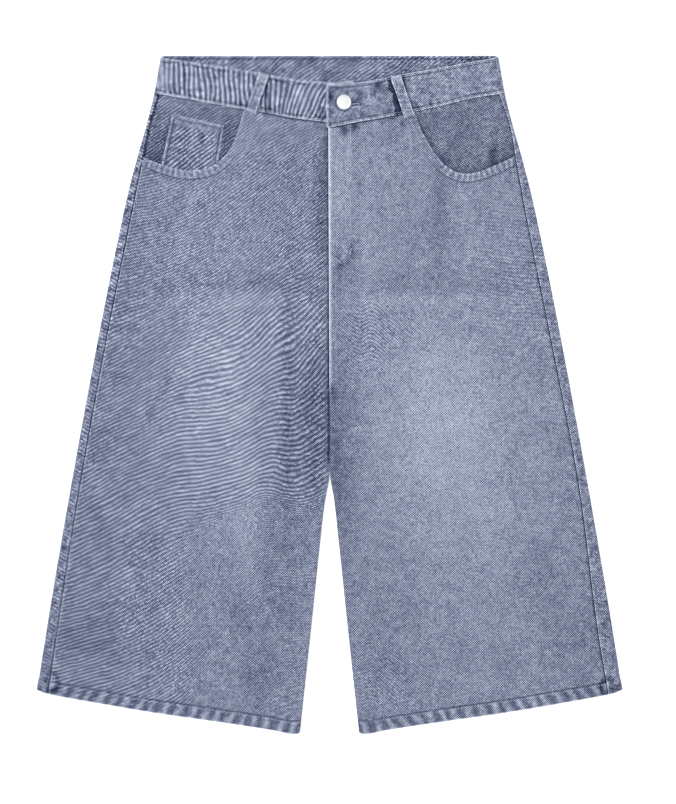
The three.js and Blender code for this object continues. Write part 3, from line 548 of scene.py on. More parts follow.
def buildBack(side):
    gap, half = cloth["seamGap"], cloth["thickness"] / 2
    flatShares = np.array([0, 0.004, 0.01, 0.02, 0.035, 0.08, 0.2, 0.35, 0.5, 0.65, 0.8, 0.9, 0.96, 1])
    returnShares = np.array([0.06, 0.25, 0.5, 0.75, 0.9, 0.97, 1])
    angles = np.radians(np.linspace(-80, 80, 11))
    hemShare = back["hem"] / back["length"]
    v = spread([0, 1 - hemShare - 0.0012, 1 - hemShare, 1], cloth["step"] / back["length"])
    columns = len(flatShares) + len(angles) + len(returnShares)
    outer, inner = np.zeros((len(v), columns, 3)), np.zeros((len(v), columns, 3))
    notes = {key: np.zeros((len(v), columns)) for key in
             ("hemAcross", "hemAlong", "seamAcross", "seamAlong", "wearAcross", "ropeStrength")}
    onTop = np.concatenate([np.zeros(len(flatShares)), (angles > 0), np.ones(len(returnShares))]) > 0
    for i, share in enumerate(v):
        def rowY(x, top=False):
            edge = np.minimum(back["top"], bandBottom[side](x)) if top else back["top"]
            return lerp(edge - gap, hemY(x), share)

        edgeX = foldX(rowY(250.0))
        for _ in range(4):
            edgeX = foldX(rowY(edgeX))
        edgeY = rowY(edgeX)
        innerEdge = innerX(side, rowY(innerX(side, rowY(30.0))))
        seam = seamX(side, rowY(seamX(side, edgeY)))
        high = sideHeight(edgeY)
        radius = (high - half) / 2
        centre = edgeX - half - radius
        flatX = lerp(innerEdge, centre, flatShares)
        returnX = lerp(centre, seam, returnShares)
        x = np.concatenate([flatX, centre + radius * np.cos(angles), returnX])
        bent = half + radius + radius * np.sin(angles)
        z = np.concatenate([np.full(len(flatX), half), bent, np.full(len(returnX), high)])
        nx = np.concatenate([np.zeros(len(flatX)), np.cos(angles), np.zeros(len(returnX))])
        nz = np.concatenate([-np.ones(len(flatX)), np.sin(angles), np.ones(len(returnX))])
        y = np.where(onTop, rowY(x, True), rowY(x))
        belowCrotch = 1 - ease(heights["crotchY"] - 26, heights["crotchY"], y)
        rise = belowCrotch * (1 - ease(0, heights["innerRoll"], x - innerEdge))
        z = z + np.where(onTop, 0, (heights["innerBack"] - half) * rise)
        fromSeam = np.maximum(x - seam, 0)
        inHem = 1.0 if share >= 1 - hemShare - 1e-9 else 0.0
        bulge = back["stripRelief"] + pucker(y, fromSeam, 13, 30, 0.22, 0.9, 60 + sides[side])
        bulge = bulge + 0.7 * np.exp(-((share - 0.985) / 0.006) ** 2) * np.exp(-((fromSeam - 3) / 4) ** 2)
        strip = np.where(onTop, ease(0, 1, nz) * bulge * ease(-0.6, 1.2, fromSeam), 0)
        lift = half + strip + np.where(onTop, 0.7 * inHem, 0)
        outer[i] = np.stack([sides[side] * (x + nx * lift), y, z + nz * lift], -1)
        depth = half + np.where(onTop, 0, back["hemInside"] * inHem)
        inner[i] = np.stack([sides[side] * (x - nx * depth), y, z - nz * depth], -1)
        fromHem = (1 - share) * back["fromFold"]
        notes["hemAcross"][i] = np.minimum(fromHem, np.where(onTop, fromSeam, 40))
        notes["hemAlong"][i] = np.where(notes["hemAcross"][i] < fromHem, y, x)
        topSeam = fromSeam if side == "right" else 40
        notes["seamAcross"][i] = np.where(onTop, topSeam, np.minimum(40, np.maximum(x - innerEdge, 0)))
        notes["seamAlong"][i] = y
        notes["wearAcross"][i] = fromHem if side == "right" else notes["hemAcross"][i]
        upTheSide = lerp(0.2, 0.6, ease(60, 160, y)) if side == "right" else 0.15
        notes["ropeStrength"][i] = np.where(inHem > 0, 1.0, upTheSide)
    x, y = np.abs(outer[..., 0]), outer[..., 1]
    notes.update(ribNotes("left", x, y))
    uneven = 0.02 * np.sin(y / 4.1 + np.sin(y / 17)) + 0.03 * ripple(x, y, 7, 22, 9, 62)
    stripTone = seamEndTone(side, x, y) - 0.035 + uneven
    notes["tone"] = np.where(onTop[None, :], stripTone, washAndShadeTone(side, x, y) * 0.5)
    if side == "right":
        lines = (y - 0.6 * x) / 4.0 + 0.12 * ripple(x, y, 9, 22, 9, 63)
        notes["ribPhase"] = np.where(onTop[None, :], lines, notes["ribPhase"])
        notes["ribStrength"] = np.where(onTop[None, :], 0.85, notes["ribStrength"])
    return shell("back" + side.capitalize() + "Cloth", outer, inner, notes)


# Waistband: one doubled strip from the tab round both side folds to the end under the tab
band = {"thickness": 2.2, "backTop": 339.3, "backBottom": 301, "tabEnd": -3, "underEnd": 24,
        "underHeight": 3.7, "tabHeight": 6.2, "tabRamp": 45,
        "slitShare": 0.567, "slitHalf": 0.6, "slitFrom": 10.2, "slitTo": 28.2, "button": (14.2, 291.7),
        "ribPitch": {"back": 3.2, "right": 5.0, "left": 4.2}, "ribStrength": {"back": 0.62, "left": 0.16}}


def bandHeight(side, x):
    if side == "left":
        ramp = ease(band["underEnd"] + 4, band["underEnd"] + band["tabRamp"], x)
        return lerp(band["tabHeight"], heights["waist"], ramp)
    return lerp(band["underHeight"], heights["waist"], ease(0, band["tabRamp"], x))


def bandPath():
    # stops along the strip: side, kind and place
    stops = []
    for side in ("left", "right"):
        end = spread([band["tabEnd"], -2.4, 30], 1.5) if side == "left" else spread([-band["underEnd"], -2, 30], 1.5)
        run = [(side, "front", p) for p in end[:-1]]
        run += [(side, "share", p) for p in spread([0, 0.16, 0.42, 1], 0.0095)]
        run += [(side, "fold", p) for p in np.linspace(82, -82, 12)]
        run += [(side, "back", p) for p in spread([1, 0.02], 0.025)]
        stops += run if side == "left" else run[::-1]
    return stops


def buildBand():
    half = band["thickness"] / 2
    tabTall = float(bandTop["left"](18) - bandBottom["left"](18))
    cutRows = [band["slitShare"] + k * band["slitHalf"] / tabTall for k in (-3, -1, 1, 3)]
    rows = spread([0, 0.02, 0.06, 0.1, 0.3] + cutRows + [0.9, 0.94, 0.98, 1], 0.034)
    stops = bandPath()
    outer, inner = np.zeros((len(rows), len(stops), 3)), np.zeros((len(rows), len(stops), 3))
    notes = {key: np.zeros((len(rows), len(stops))) for key in
             ("hemAcross", "hemAlong", "seamAcross", "seamAlong", "wearAcross", "ropeStrength", "tone", "ribPhase",
              "ribStrength")}
    for j, (side, kind, place) in enumerate(stops):
        turn = {"front": 0, "share": 0, "back": 1}.get(kind, (82 - place) / 164)
        edgeTop = lerp(float(bandTop[side](170)), band["backTop"], turn)
        edgeBottom = lerp(float(bandBottom[side](176)), band["backBottom"], turn)
        edgeY = lerp(edgeTop, edgeBottom, rows)
        radius = (heights["waist"] - half) / 2
        centre = foldX(edgeY) - half - radius
        if kind == "fold":
            angle = math.radians(place)
            x, z = centre + radius * math.cos(angle), np.full(len(rows), half + radius + radius * math.sin(angle))
            y, nx, nz = edgeY, math.cos(angle), math.sin(angle)
        elif kind == "back":
            x, z, y, nx, nz = centre * place, np.full(len(rows), half), edgeY, 0.0, -1.0
        else:
            x = np.full(len(rows), place) if kind == "front" else lerp(30, centre, place)
            y = lerp(bandTop[side](np.abs(x)), bandBottom[side](np.abs(x)), rows)
            z, nx, nz = bandHeight(side, x), 0.0, 1.0
        tall = np.abs(y[0] - y[-1])
        along = np.full(len(rows), float(x[0]) * (1 if kind != "back" else -1))
        fromEdge = np.minimum(rows, 1 - rows) * tall
        facing = 1.0 if nz > 0.3 else 0.0
        wave = pucker(along, np.abs(rows * tall - 2.3), 9, 6, 0.16, 0.2, 71)
        wave = wave + pucker(along, np.abs((1 - rows) * tall - 2.3), 10, 9, 0.24, -0.3, 72)
        edge = 0.30 * (1 - ease(0, 1.2, fromEdge)) + 0.22 * np.exp(-((fromEdge - 2.3) / 0.8) ** 2)
        soft = 0.16 * ripple(along, y, 16, 40, 7, 73)
        lift = half + facing * (wave + soft - edge)
        drop = half - (0.15 * (1 - ease(0, 1.2, fromEdge)) if kind == "back" else 0) - (0.1 if facing else 0)
        outer[:, j] = np.stack([sides[side] * (x + nx * lift), y, z + nz * lift], -1)
        inner[:, j] = np.stack([sides[side] * (x - nx * drop), y, z - nz * drop], -1)
        ends = (x - band["tabEnd"]) if side == "left" and kind == "front" else 40
        notes["hemAcross"][:, j] = np.minimum(np.minimum(fromEdge, ends), 40)
        notes["hemAlong"][:, j] = np.where(ends < fromEdge, y, along)
        notes["seamAcross"][:, j] = 40
        notes["seamAlong"][:, j] = along
        notes["wearAcross"][:, j] = notes["hemAcross"][:, j]
        notes["ropeStrength"][:, j] = 1.0
        notes["tone"][:, j] = bandTone(side, kind, x, y)
        upright = sides[side] * x * (1.0 if kind != "back" else -0.6) + y * (0.06 if kind != "back" else 0.8)
        part = "back" if kind == "back" else side
        lean, waver = {"back": (0, 0.3), "right": (np.where(x < 62, (y - 300) * 0.55 * ease(62, 20, x), 0), 0.22),
                       "left": ((y - 300) * 0.8, 0.2)}[part]
        notes["ribPhase"][:, j] = (upright - lean) / band["ribPitch"][part] + waver * ripple(x, y, 20, 50, 5, 74)
        evenly = 0.25 + 0.75 * ease(170, 155, x) * ease(0, 3, fromEdge)
        notes["ribStrength"][:, j] = band["ribStrength"].get(part, evenly)
    places = np.array([place if (side, kind) == ("left", "front") else -99.0 for side, kind, place in stops])
    low, high = int(np.argmin(np.abs(rows - cutRows[1]))), int(np.argmin(np.abs(rows - cutRows[2])))
    ends = sorted(int(np.argmin(np.abs(places - band[key]))) for key in ("slitFrom", "slitTo"))
    return shell("waistbandCloth", outer, inner, notes, (low, high, ends[0], ends[1]))


# Unfaded cloth beside the belt loops and other places that wear never reaches, with painted shade beside the loops
bandSpotsAndShade = {
    "right": [(78, 286, 5, 10, -0.14), (62, 300, 4, 24, -0.10), (120, 305, 40, 18, 0.01),
              (6, 292, 7, 20, -0.07), (150, 320, 20, 12, 0.03), (4, 276, 8, 6, -0.12),
              (144, 318, 3, 14, -0.10), (170, 312, 6, 8, 0.06), (30, 296, 12, 10, 0.04), (62, 285, 7, 5, -0.12)],
    "left": [(24, 292.3, 6, 2.6, -0.26), (50, 310, 3.5, 4, -0.24), (56, 303, 4, 5, -0.22),
             (44.5, 301.5, 3.5, 4, -0.18), (57, 283, 5, 1.8, -0.16), (35, 280.5, 4, 1.6, -0.14),
             (38, 305, 3.5, 5, 0.08), (31, 297, 3, 5, -0.07), (50, 294, 3, 5, -0.1), (8, 306, 6, 1.4, -0.16),
             (62, 293, 2.5, 4, -0.12), (74, 310, 3.0, 8, -0.26), (88, 285, 4, 7, -0.16),
             (1.5, 298, 2.5, 6, -0.3), (4, 283, 3.5, 3, -0.20), (28, 303, 8, 4, -0.07), (34, 288, 9, 4, -0.08),
             (22, 278, 6, 2.5, -0.12), (14, 304, 9, 3, -0.06), (46, 306, 6, 5, -0.08), (44, 292, 6, 5, 0.06),
             (10, 286, 5, 5, 0.05), (120, 310, 40, 20, 0.0)],
}


def bandTone(side, kind, x, y):
    if kind == "back":
        return np.full(len(y), -0.07) + 0.04 * ripple(x, y, 12, 40, 7, 77)
    tone = 0.03 * ripple(sides[side] * x, y, 9, 30, 11, 78) + 0.02 * ripple(sides[side] * x, y, 5, 9, 9, 79)
    for cx, cy, rx, ry, amount in bandSpotsAndShade[side]:
        tone = tone + amount * np.exp(-(((x - cx) / rx) ** 2 + ((y - cy) / ry) ** 2) ** 1.5)
    if side == "left":
        # a dark wedge along the loop's inner side: cloth the loop kept from wear, with the loop's painted shadow
        (ax, ay), (bx, by) = loops["left"]
        down = (ay - y) / (ay - by)
        inwards = ax + (bx - ax) * down - 5.2 - x
        wide = 4.6 + 5 * ease(0.45, 1.1, down) + 0.9 * np.sin(y / 2.3)
        tone = tone - 0.46 * ease(wide + 0.7, wide - 0.7, inwards) * ease(-1.5, 0, inwards) * ease(-0.02, 0.06, down)
        # painted shadow of the button: a dark ring on its left and lower side
        fromX, fromY = x - band["button"][0], y - band["button"][1]
        ring = np.hypot(fromX, fromY)
        tone = tone - 0.24 * np.exp(-((ring - 8) / 1.1) ** 2) * ease(6, -6, fromX + fromY)
    # painted shadow of the belt loop: a dark line along both its sides
    (ax, ay), (bx, by) = loops[side]
    length = math.hypot(bx - ax, by - ay)
    beside = np.abs((x - ax) * (by - ay) - (y - ay) * (bx - ax)) / length
    return tone - 0.2 * np.exp(-((beside - 5.9) / 1.0) ** 2)


# Pocket facings, coin pocket and belt loops
pocket = {"facingThickness": 1.0, "inner": 72, "below": 14, "drop": 2.7, "lift": 1.7, "liftReach": 24,
          "coinThickness": 1.0, "coinTall": 48, "coinWide": 54, "coinBelow": 8, "coinTop": ((106, 268.5), (157, 280.5)),
          "coinMouth": ((113.5, 231), (169.5, 229.5)),
          "shades": {
              "right": [(172, 262, 4, 14, -0.13), (176, 244, 4, 12, -0.17), (175, 238, 5, 6, -0.12),
                        (102, 260, 7, 13, -0.13), (163, 292, 12, 8, 0.05), (181, 268, 3, 20, 0.05),
                        (124, 280, 20, 6, -0.03), (113, 240, 6, 8, -0.08)],
              "left": [(133, 262, 8, 24, -0.045), (96, 262, 8, 14, -0.07), (120, 236, 22, 8, -0.05),
                       (158, 262, 6, 26, 0.045), (164, 240, 5, 11, -0.24), (166, 256, 3, 9, -0.06),
                       (172, 252, 4, 12, 0.05), (178, 262, 4, 18, 0.03), (180, 244, 4, 6, -0.05),
                       (168, 284, 14, 8, 0.03)],
          }}


def facingHeight(side, x, y):
    fromWaist = bandBottom[side](x) - y
    fromSeam = seamX(side, y) - x
    inMouth = ease(4, 24, y - scoopY[side](np.maximum(x, front["scoopStart"] + 4)))
    sewn = np.maximum(ease(pocket["liftReach"], 2, fromWaist), ease(pocket["liftReach"], 2, fromSeam))
    level = np.minimum(frontHeight(side, x, y, False), heights["waist"])
    return level - pocket["drop"] + pocket["lift"] * inMouth * sewn


def buildFacing(side):
    rows = spread([0, 1], 0.045)
    columns = np.append(spread([pocket["inner"], 160, 170], 3.0), 0)
    outer, inner = np.zeros((len(rows), len(columns), 3)), np.zeros((len(rows), len(columns), 3))
    for i, v in enumerate(rows):
        def rowY(at):
            bottom = scoopY[side](np.maximum(at, front["scoopStart"] + 6)) - pocket["below"]
            return lerp(bandBottom[side](at) - cloth["seamGap"], bottom, v)

        last = 180.0
        for _ in range(4):
            last = float(seamX(side, rowY(last))) - 2 * cloth["seamGap"]
        x = columns.copy()
        x[-1] = last
        y = rowY(x)
        z = facingHeight(side, x, y) + 0.14 * ripple(x, y, 14, 40, 7, 90)
        outer[i], inner[i] = levelWall(sides[side], x, y, z, pocket["facingThickness"], 0)
        inner[i][:, 2] = np.minimum(inner[i][:, 2], facingHeight(side, x, y) - pocket["facingThickness"] / 2)
    x, y = np.abs(outer[..., 0]), outer[..., 1]
    fromMouth = y - scoopY[side](np.maximum(x, front["scoopStart"] + 4))
    fromSeam, fromWaist = seamX(side, y) - x, bandBottom[side](x) - y
    shadow = -0.17 * np.exp(-np.maximum(fromMouth, 0) / 4) - 0.05 * np.exp(-np.maximum(fromSeam, 0) / 5)
    for cx, cy, rx, ry, amount in pocket["shades"][side]:
        shadow = shadow + amount * np.exp(-(((x - cx) / rx) ** 2 + ((y - cy) / ry) ** 2))
    if side == "right":
        (_, _), (bx, by) = pocket["coinTop"]
        _, (dx, dy) = pocket["coinMouth"]
        beside = ((x - bx) * (by - dy) - (y - by) * (bx - dx)) / math.hypot(bx - dx, by - dy)
        shadow = shadow - 0.2 * np.exp(-((beside - 1.4) / 1.3) ** 2) * ease(by + 2, by - 4, y)
    notes = edgeNotes(np.full(x.shape, 40.0), x, np.minimum(fromWaist, fromSeam) + 1, x + y)
    notes["tone"] = shadow + 0.02 * ripple(x, y, 8, 24, 9, 91)
    notes["ribPhase"] = (y - sides[side] * 0.68 * x) / 3.3 + 0.25 * ripple(x, y, 30, 60, 5, 92)
    notes["ribStrength"] = np.full(x.shape, 0.8 if side == "right" else 0.1)
    return shell("facing" + side.capitalize() + "Cloth", outer, inner, notes)


def coinPoint(u, v):
    (ax, ay), (bx, by) = pocket["coinTop"]
    (cx, _), (dx, _) = pocket["coinMouth"]
    mouthX = lerp(cx, dx, u)
    bottomY = scoopY["right"](mouthX) - pocket["coinBelow"]
    return lerp(lerp(ax, bx, u), mouthX, v), lerp(lerp(ay, by, u), bottomY, v)


def buildCoin():
    side = "right"
    u, v = spread([0, 0.03, 0.97, 1], 0.05), spread([0, 0.02, 0.14, 0.155, 1], 0.05)
    x, y = coinPoint(u[None, :], v[:, None])
    x, y = np.broadcast_to(x, (len(v), len(u))), np.broadcast_to(y, (len(v), len(u)))
    lift = pocket["facingThickness"] / 2 + cloth["seamGap"] + pocket["coinThickness"] / 2
    ridge = 0.4 * (1 - ease(0.14, 0.155, v[:, None])) + 0.16 * ripple(x, y, 9, 24, 7, 93)
    z = facingHeight(side, x, y) + lift
    outer, inner = levelWall(sides[side], x, y, z, pocket["coinThickness"], ridge)
    fromTop = v[:, None] * pocket["coinTall"] + 0 * x
    fromSide = np.minimum(u, 1 - u)[None, :] * pocket["coinWide"] + 0 * x
    notes = edgeNotes(np.minimum(fromTop, fromSide), x + y, np.full(x.shape, 40.0), x)
    sewn = 0.05 * np.exp(-((fromTop - 4.5) / 3.5) ** 2) - 0.12 * np.exp(-((fromSide - 2.6) / 1.0) ** 2)
    notes["tone"] = 0.04 * ripple(x, y, 8, 22, 9, 94) + 0.02 + sewn
    notes["ribPhase"] = (y + 0.74 * x) / 4.3 + 0.2 * ripple(x, y, 16, 36, 5, 95)
    notes["ribStrength"] = ease(3, 7, fromSide) * ease(6, 9, fromTop)
    return shell("coinPocketCloth", outer, inner, notes)


loops = {
    "width": 10.5, "thickness": 1.8, "arch": 1.9,
    "right": ((65.5, 320), (79, 281.5)),
    "left": ((66, 317.4), (80, 277.4)),
}


def loopPlace(side, v, w):
    (ax, ay), (bx, by) = loops[side]
    length = math.hypot(bx - ax, by - ay)
    nx, ny = (ay - by) / length, (bx - ax) / length
    waist = 1 - 0.05 * np.sin(np.pi * np.clip(v, 0, 1))
    return lerp(ax, bx, v) + nx * w * waist, lerp(ay, by, v) + ny * w * waist


def buildLoop(side):
    v = spread([0, 0.02, 0.06, 0.1, 0.14, 0.86, 0.9, 0.94, 0.98, 1], 0.045)[:, None]
    w = np.array([-0.5, -0.46, -0.38, -0.28, -0.14, 0, 0.14, 0.28, 0.38, 0.46, 0.5])[None, :] * loops["width"]
    x, y = loopPlace(side, v, w)
    x, y = np.broadcast_to(x, (v.size, w.size)), np.broadcast_to(y, (v.size, w.size))
    arch = loops["arch"] * np.sqrt(np.clip(np.sin(np.pi * v), 0, 1))
    base = heights["waist"] + band["thickness"] / 2 + cloth["seamGap"] + loops["thickness"] / 2
    rim = 0.28 * ease(loops["width"] / 2 - 2.6, loops["width"] / 2, np.abs(w))
    groove = 0.15 * np.exp(-((np.abs(w) - 3.1) / 0.6) ** 2)
    tacks = 0.3 * (np.exp(-((v - 0.04) / 0.022) ** 2) + np.exp(-((v - 0.96) / 0.022) ** 2))
    rough = 0.12 * ripple(x, y, 5, 14, 7, 96)
    z = base + arch + 0 * x
    outer, inner = levelWall(sides[side], x, y, z, loops["thickness"], rough - rim - groove - tacks)
    fromEdge = loops["width"] / 2 - np.abs(w) + 0 * x
    notes = edgeNotes(np.minimum(fromEdge, v * 40 + 0.4), y, np.full(x.shape, 40.0), y)
    notes["tone"] = 0.03 * ripple(x, y, 6, 18, 7, 97) - 0.05 * np.exp(-((v - 0.9) / 0.05) ** 2) + 0.01
    notes["ribPhase"] = y / 2.6 + 0.2 * ripple(x, y, 9, 20, 5, 98)
    notes["ribStrength"] = np.full(x.shape, 0.5)
    return shell("beltLoop" + side.capitalize(), outer, inner, notes)


# Zip, just under the fly: tape from the CAD sizes, with a closed chain
zipper = {"inner": -12, "outer": 15, "bottom": 140, "top": 263, "thickness": 1.0, "chain": 5, "pitch": 2.2}


def buildZipTape():
    y = spread([zipper["top"], zipper["bottom"]], 3)[:, None]
    x = spread([zipper["inner"], zipper["outer"]], 3)[None, :]
    x, y = np.broadcast_to(x, (y.size, x.size)), np.broadcast_to(y, (y.size, x.size))
    level = frontHeight("right", np.full(y.shape, 2.0), y, False) - cloth["thickness"] / 2 - cloth["seamGap"]
    outer, inner = levelWall(1, x, y, level - zipper["thickness"] / 2 - 0.2, zipper["thickness"] - 0.4, 0)
    notes = edgeNotes(np.full(x.shape, 40.0), y, np.full(x.shape, 40.0), y)
    return shell("zipTape", outer, inner, notes)


def buildZipChain():
    # one tooth, copied down both tapes so that the two rows mesh
    bpy.ops.object.select_all(action="DESELECT")
    bpy.ops.mesh.primitive_cube_add(size=1)
    tooth = bpy.context.object
    tooth.scale = (zipper["chain"] * 0.55 * mm, zipper["pitch"] * 0.42 * mm, 0.7 * mm)
    bpy.ops.object.transform_apply(location=False, rotation=False, scale=True)
    bpy.ops.object.mode_set(mode="EDIT")
    bpy.ops.mesh.select_all(action="SELECT")
    bpy.ops.mesh.bevel(offset=0.14 * mm, segments=1, affect="EDGES")
    bpy.ops.object.mode_set(mode="OBJECT")
    middle = (zipper["inner"] + zipper["outer"]) / 2
    teeth = []
    for k, y in enumerate(np.arange(zipper["bottom"] + 3, zipper["top"] - 3, zipper["pitch"] / 2)):
        copy = bpy.data.objects.new("tooth", tooth.data.copy())
        level = float(frontHeight("right", np.array(2.0), np.array(float(y)), False)) - cloth["thickness"] / 2
        across = middle + (1 if k % 2 else -1) * zipper["chain"] * 0.2
        copy.location = (across * mm, float(y) * mm, (level - cloth["seamGap"] - 0.45) * mm)
        bpy.context.scene.collection.objects.link(copy)
        teeth.append(copy)
    bpy.data.objects.remove(tooth)
    bpy.ops.object.select_all(action="DESELECT")
    for copy in teeth:
        copy.select_set(True)
    bpy.context.view_layer.objects.active = teeth[0]
    bpy.ops.object.transform_apply(location=True, rotation=False, scale=False)
    bpy.ops.object.join()
    chain = bpy.context.object
    chain.name = "zipChain"
    return chain


# Sewing thread: one stitch, modelled once and copied along every seam
thread = {"radius": 0.36, "sunk": 0.05, "length": 2.5, "pitch": 3.3}


def stitchShape(radius):
    rings = [(-0.5, 0.35, -0.6), (-0.36, 0.85, -0.05), (0, 1, 0.12), (0.36, 0.85, -0.05), (0.5, 0.35, -0.6)]
    around = 6
    points, faces = [], []
    for along, wide, lift in rings:
        for k in range(around):
            turn = 2 * math.pi * k / around
            points.append((along, wide * radius * math.cos(turn), (wide * math.sin(turn) + lift) * radius))
    for r in range(len(rings) - 1):
        for k in range(around):
            a, b = r * around + k, r * around + (k + 1) % around
            faces.append((b, a, a + around, b + around))
    faces.append(tuple(range(around)))
    faces.append(tuple(reversed(range((len(rings) - 1) * around, len(rings) * around))))
    return np.array(points), faces


def alongPath(path, pitch, start=0.0):
    path = np.array(path, float)
    arc = arcAlong(path[:, 0], path[:, 1])
    at = np.arange(start + pitch / 2, arc[-1] - pitch * 0.3, pitch)
    x, y = np.interp(at, arc, path[:, 0]), np.interp(at, arc, path[:, 1])
    ax, ay = np.interp(at + 0.4, arc, path[:, 0]), np.interp(at + 0.4, arc, path[:, 1])
    bx, by = np.interp(at - 0.4, arc, path[:, 0]), np.interp(at - 0.4, arc, path[:, 1])
    turn = np.arctan2(ay - by, ax - bx)
    return np.stack([x, y, turn], -1)


def topOf(pieces):
    trees = []
    for piece in pieces:
        mesh = piece.data
        trees.append(BVHTree.FromPolygons([v.co for v in mesh.vertices], [p.vertices for p in mesh.polygons]))

    def read(x, y):
        best = None
        for tree in trees:
            hit = tree.ray_cast(Vector((x * mm, y * mm, 0.05)), Vector((0, 0, -1)))
            if hit[0] is not None and (best is None or hit[0].z > best):
                best = hit[0].z
        return None if best is None else best / mm

    return read


def sewStitches(name, rows, pieces, length=None, radius=None, seed=1):
    # rows of (x, y, turn) in millimetres, laid on the pieces and following their slope
    length, radius = length or thread["length"], radius or thread["radius"]
    shape, faces = stitchShape(radius)
    top = topOf(pieces)
    pick = np.random.RandomState(seed)
    points, quads, count = [], [], 0
    for x, y, turn in np.concatenate([np.array(r, float).reshape(-1, 3) for r in rows]):
        reach = length * (0.46 + 0.05 * pick.uniform(-1, 1))
        cx, sy = math.cos(turn), math.sin(turn)
        low, high = top(x - cx * reach, y - sy * reach), top(x + cx * reach, y + sy * reach)
        if low is None or high is None or abs(high - low) > 1.4:
            continue
        middle = top(x, y)
        z = max(middle if middle is not None else low, (low + high) / 2) - thread["sunk"]
        slope = (high - low) / (2 * reach)
        sway = turn + 0.06 * pick.uniform(-1, 1)
        cx, sy = math.cos(sway), math.sin(sway)
        along, wide, up = shape[:, 0] * 2 * reach, shape[:, 1], shape[:, 2]
        points.append(np.stack([x + along * cx - wide * sy, y + along * sy + wide * cx, z + up + along * slope], -1))
        quads += [tuple(k + count for k in f) for f in faces]
        count += len(shape)
    mesh = bpy.data.meshes.new(name)
    mesh.from_pydata((np.concatenate(points) * mm).tolist(), [], quads)
    mesh.polygons.foreach_set("use_smooth", np.ones(len(mesh.polygons), bool))
    mesh.update()
    piece = bpy.data.objects.new(name, mesh)
    bpy.context.scene.collection.objects.link(piece)
    return piece


def sided(side, path):
    return [(sides[side] * x, y) for x, y in path]


def tack(cx, cy, angle, width, pitch=0.75):
    # a bar of close stitches: centre, direction of the bar and its width
    dx, dy = math.cos(angle), math.sin(angle)
    n = int(width / pitch)
    turn = math.atan2(dx, -dy)
    return [(cx + dx * (k - n / 2) * pitch, cy + dy * (k - n / 2) * pitch, turn) for k in range(n + 1)]


# Materials: sums on sockets are written as Python expressions
class Wire:
    def __init__(self, board, socket):
        self.board, self.socket = board, socket

    def does(self, operation, *others):
        return self.board.add("ShaderNodeMath", {"operation": operation}, dict(enumerate((self, *others))))

    def __add__(self, other):
        return self.does("ADD", other)

    def __sub__(self, other):
        return self.does("SUBTRACT", other)

    def __mul__(self, other):
        return self.does("MULTIPLY", other)

    def __truediv__(self, other):
        return self.does("DIVIDE", other)

    def __rsub__(self, other):
        return self.board.add("ShaderNodeMath", {"operation": "SUBTRACT"}, {0: other, 1: self})

    __radd__, __rmul__ = __add__, __mul__

    def sine(self):
        return self.does("SINE")

    def between(self, low, high):
        # 0 below low, 1 above high, smooth between; the other way round where low is the larger
        start, end = (0, 1) if low < high else (1, 0)
        return self.board.add("ShaderNodeMapRange", {"interpolation_type": "SMOOTHSTEP", "clamp": True},
                              {"Value": self, "From Min": min(low, high), "From Max": max(low, high),
                               "To Min": start, "To Max": end}, "Result")

    def bell(self, middle, width):
        away = (self - middle) / width
        return (away * away * -1).does("EXPONENT")


class Board:
    def __init__(self, name):
        self.material = bpy.data.materials.new(name)
        self.material.use_nodes = True
        self.tree = self.material.node_tree
        self.shader = self.tree.nodes["Principled BSDF"]

    def plug(self, socket, value):
        if isinstance(value, Wire):
            self.tree.links.new(value.socket, socket)
        else:
            socket.default_value = value

    def add(self, kind, settings=None, inputs=None, out=0):
        node = self.tree.nodes.new(kind)
        for key, value in (settings or {}).items():
            if key == "stops":
                ramp = node.color_ramp
                while len(ramp.elements) < len(value):
                    ramp.elements.new(0.5)
                for element, (place, colour) in zip(ramp.elements, value):
                    element.position, element.color = place, colour
            else:
                setattr(node, key, value)
        for key, value in (inputs or {}).items():
            self.plug(node.inputs[key], value)
        return Wire(self, node.outputs[out])

    def note(self, name):
        return self.add("ShaderNodeAttribute", {"attribute_name": name}, out="Fac")

    def place(self, turn=0.0, stretch=(1, 1, 1)):
        spot = self.add("ShaderNodeTexCoord", out="Object")
        return self.add("ShaderNodeMapping", {"vector_type": "POINT"},
                        {"Vector": spot, "Rotation": (0, 0, turn), "Scale": stretch})

    def noise(self, scale, turn=0.0, stretch=(1, 1, 1), detail=2.0, rough=0.5):
        # centred on 0, about -1 to 1
        raw = self.add("ShaderNodeTexNoise", {}, {"Vector": self.place(turn, stretch), "Scale": scale,
                                                  "Detail": detail, "Roughness": rough}, "Fac")
        return (raw - 0.5) * 4

    def finish(self, **sockets):
        for name, value in sockets.items():
            self.plug(self.shader.inputs[name.replace("_", " ")], value)
        return self.material


def shade(red, green, blue):
    def linear(c):
        c = c / 255
        return c / 12.92 if c <= 0.04045 else ((c + 0.055) / 1.055) ** 2.4

    return (linear(red), linear(green), linear(blue), 1)


# Wash of the cloth, from unfaded indigo to bare white threads, by lightness from 0 to 1
wash = [
    (0.12, shade(20, 26, 50)), (0.26, shade(50, 58, 90)), (0.42, shade(92, 100, 130)), (0.516, shade(115, 124, 151)),
    (0.578, shade(131, 140, 166)), (0.64, shade(148, 157, 182)), (0.786, shade(187, 195, 217)),
    (0.93, shade(228, 233, 245)),
]
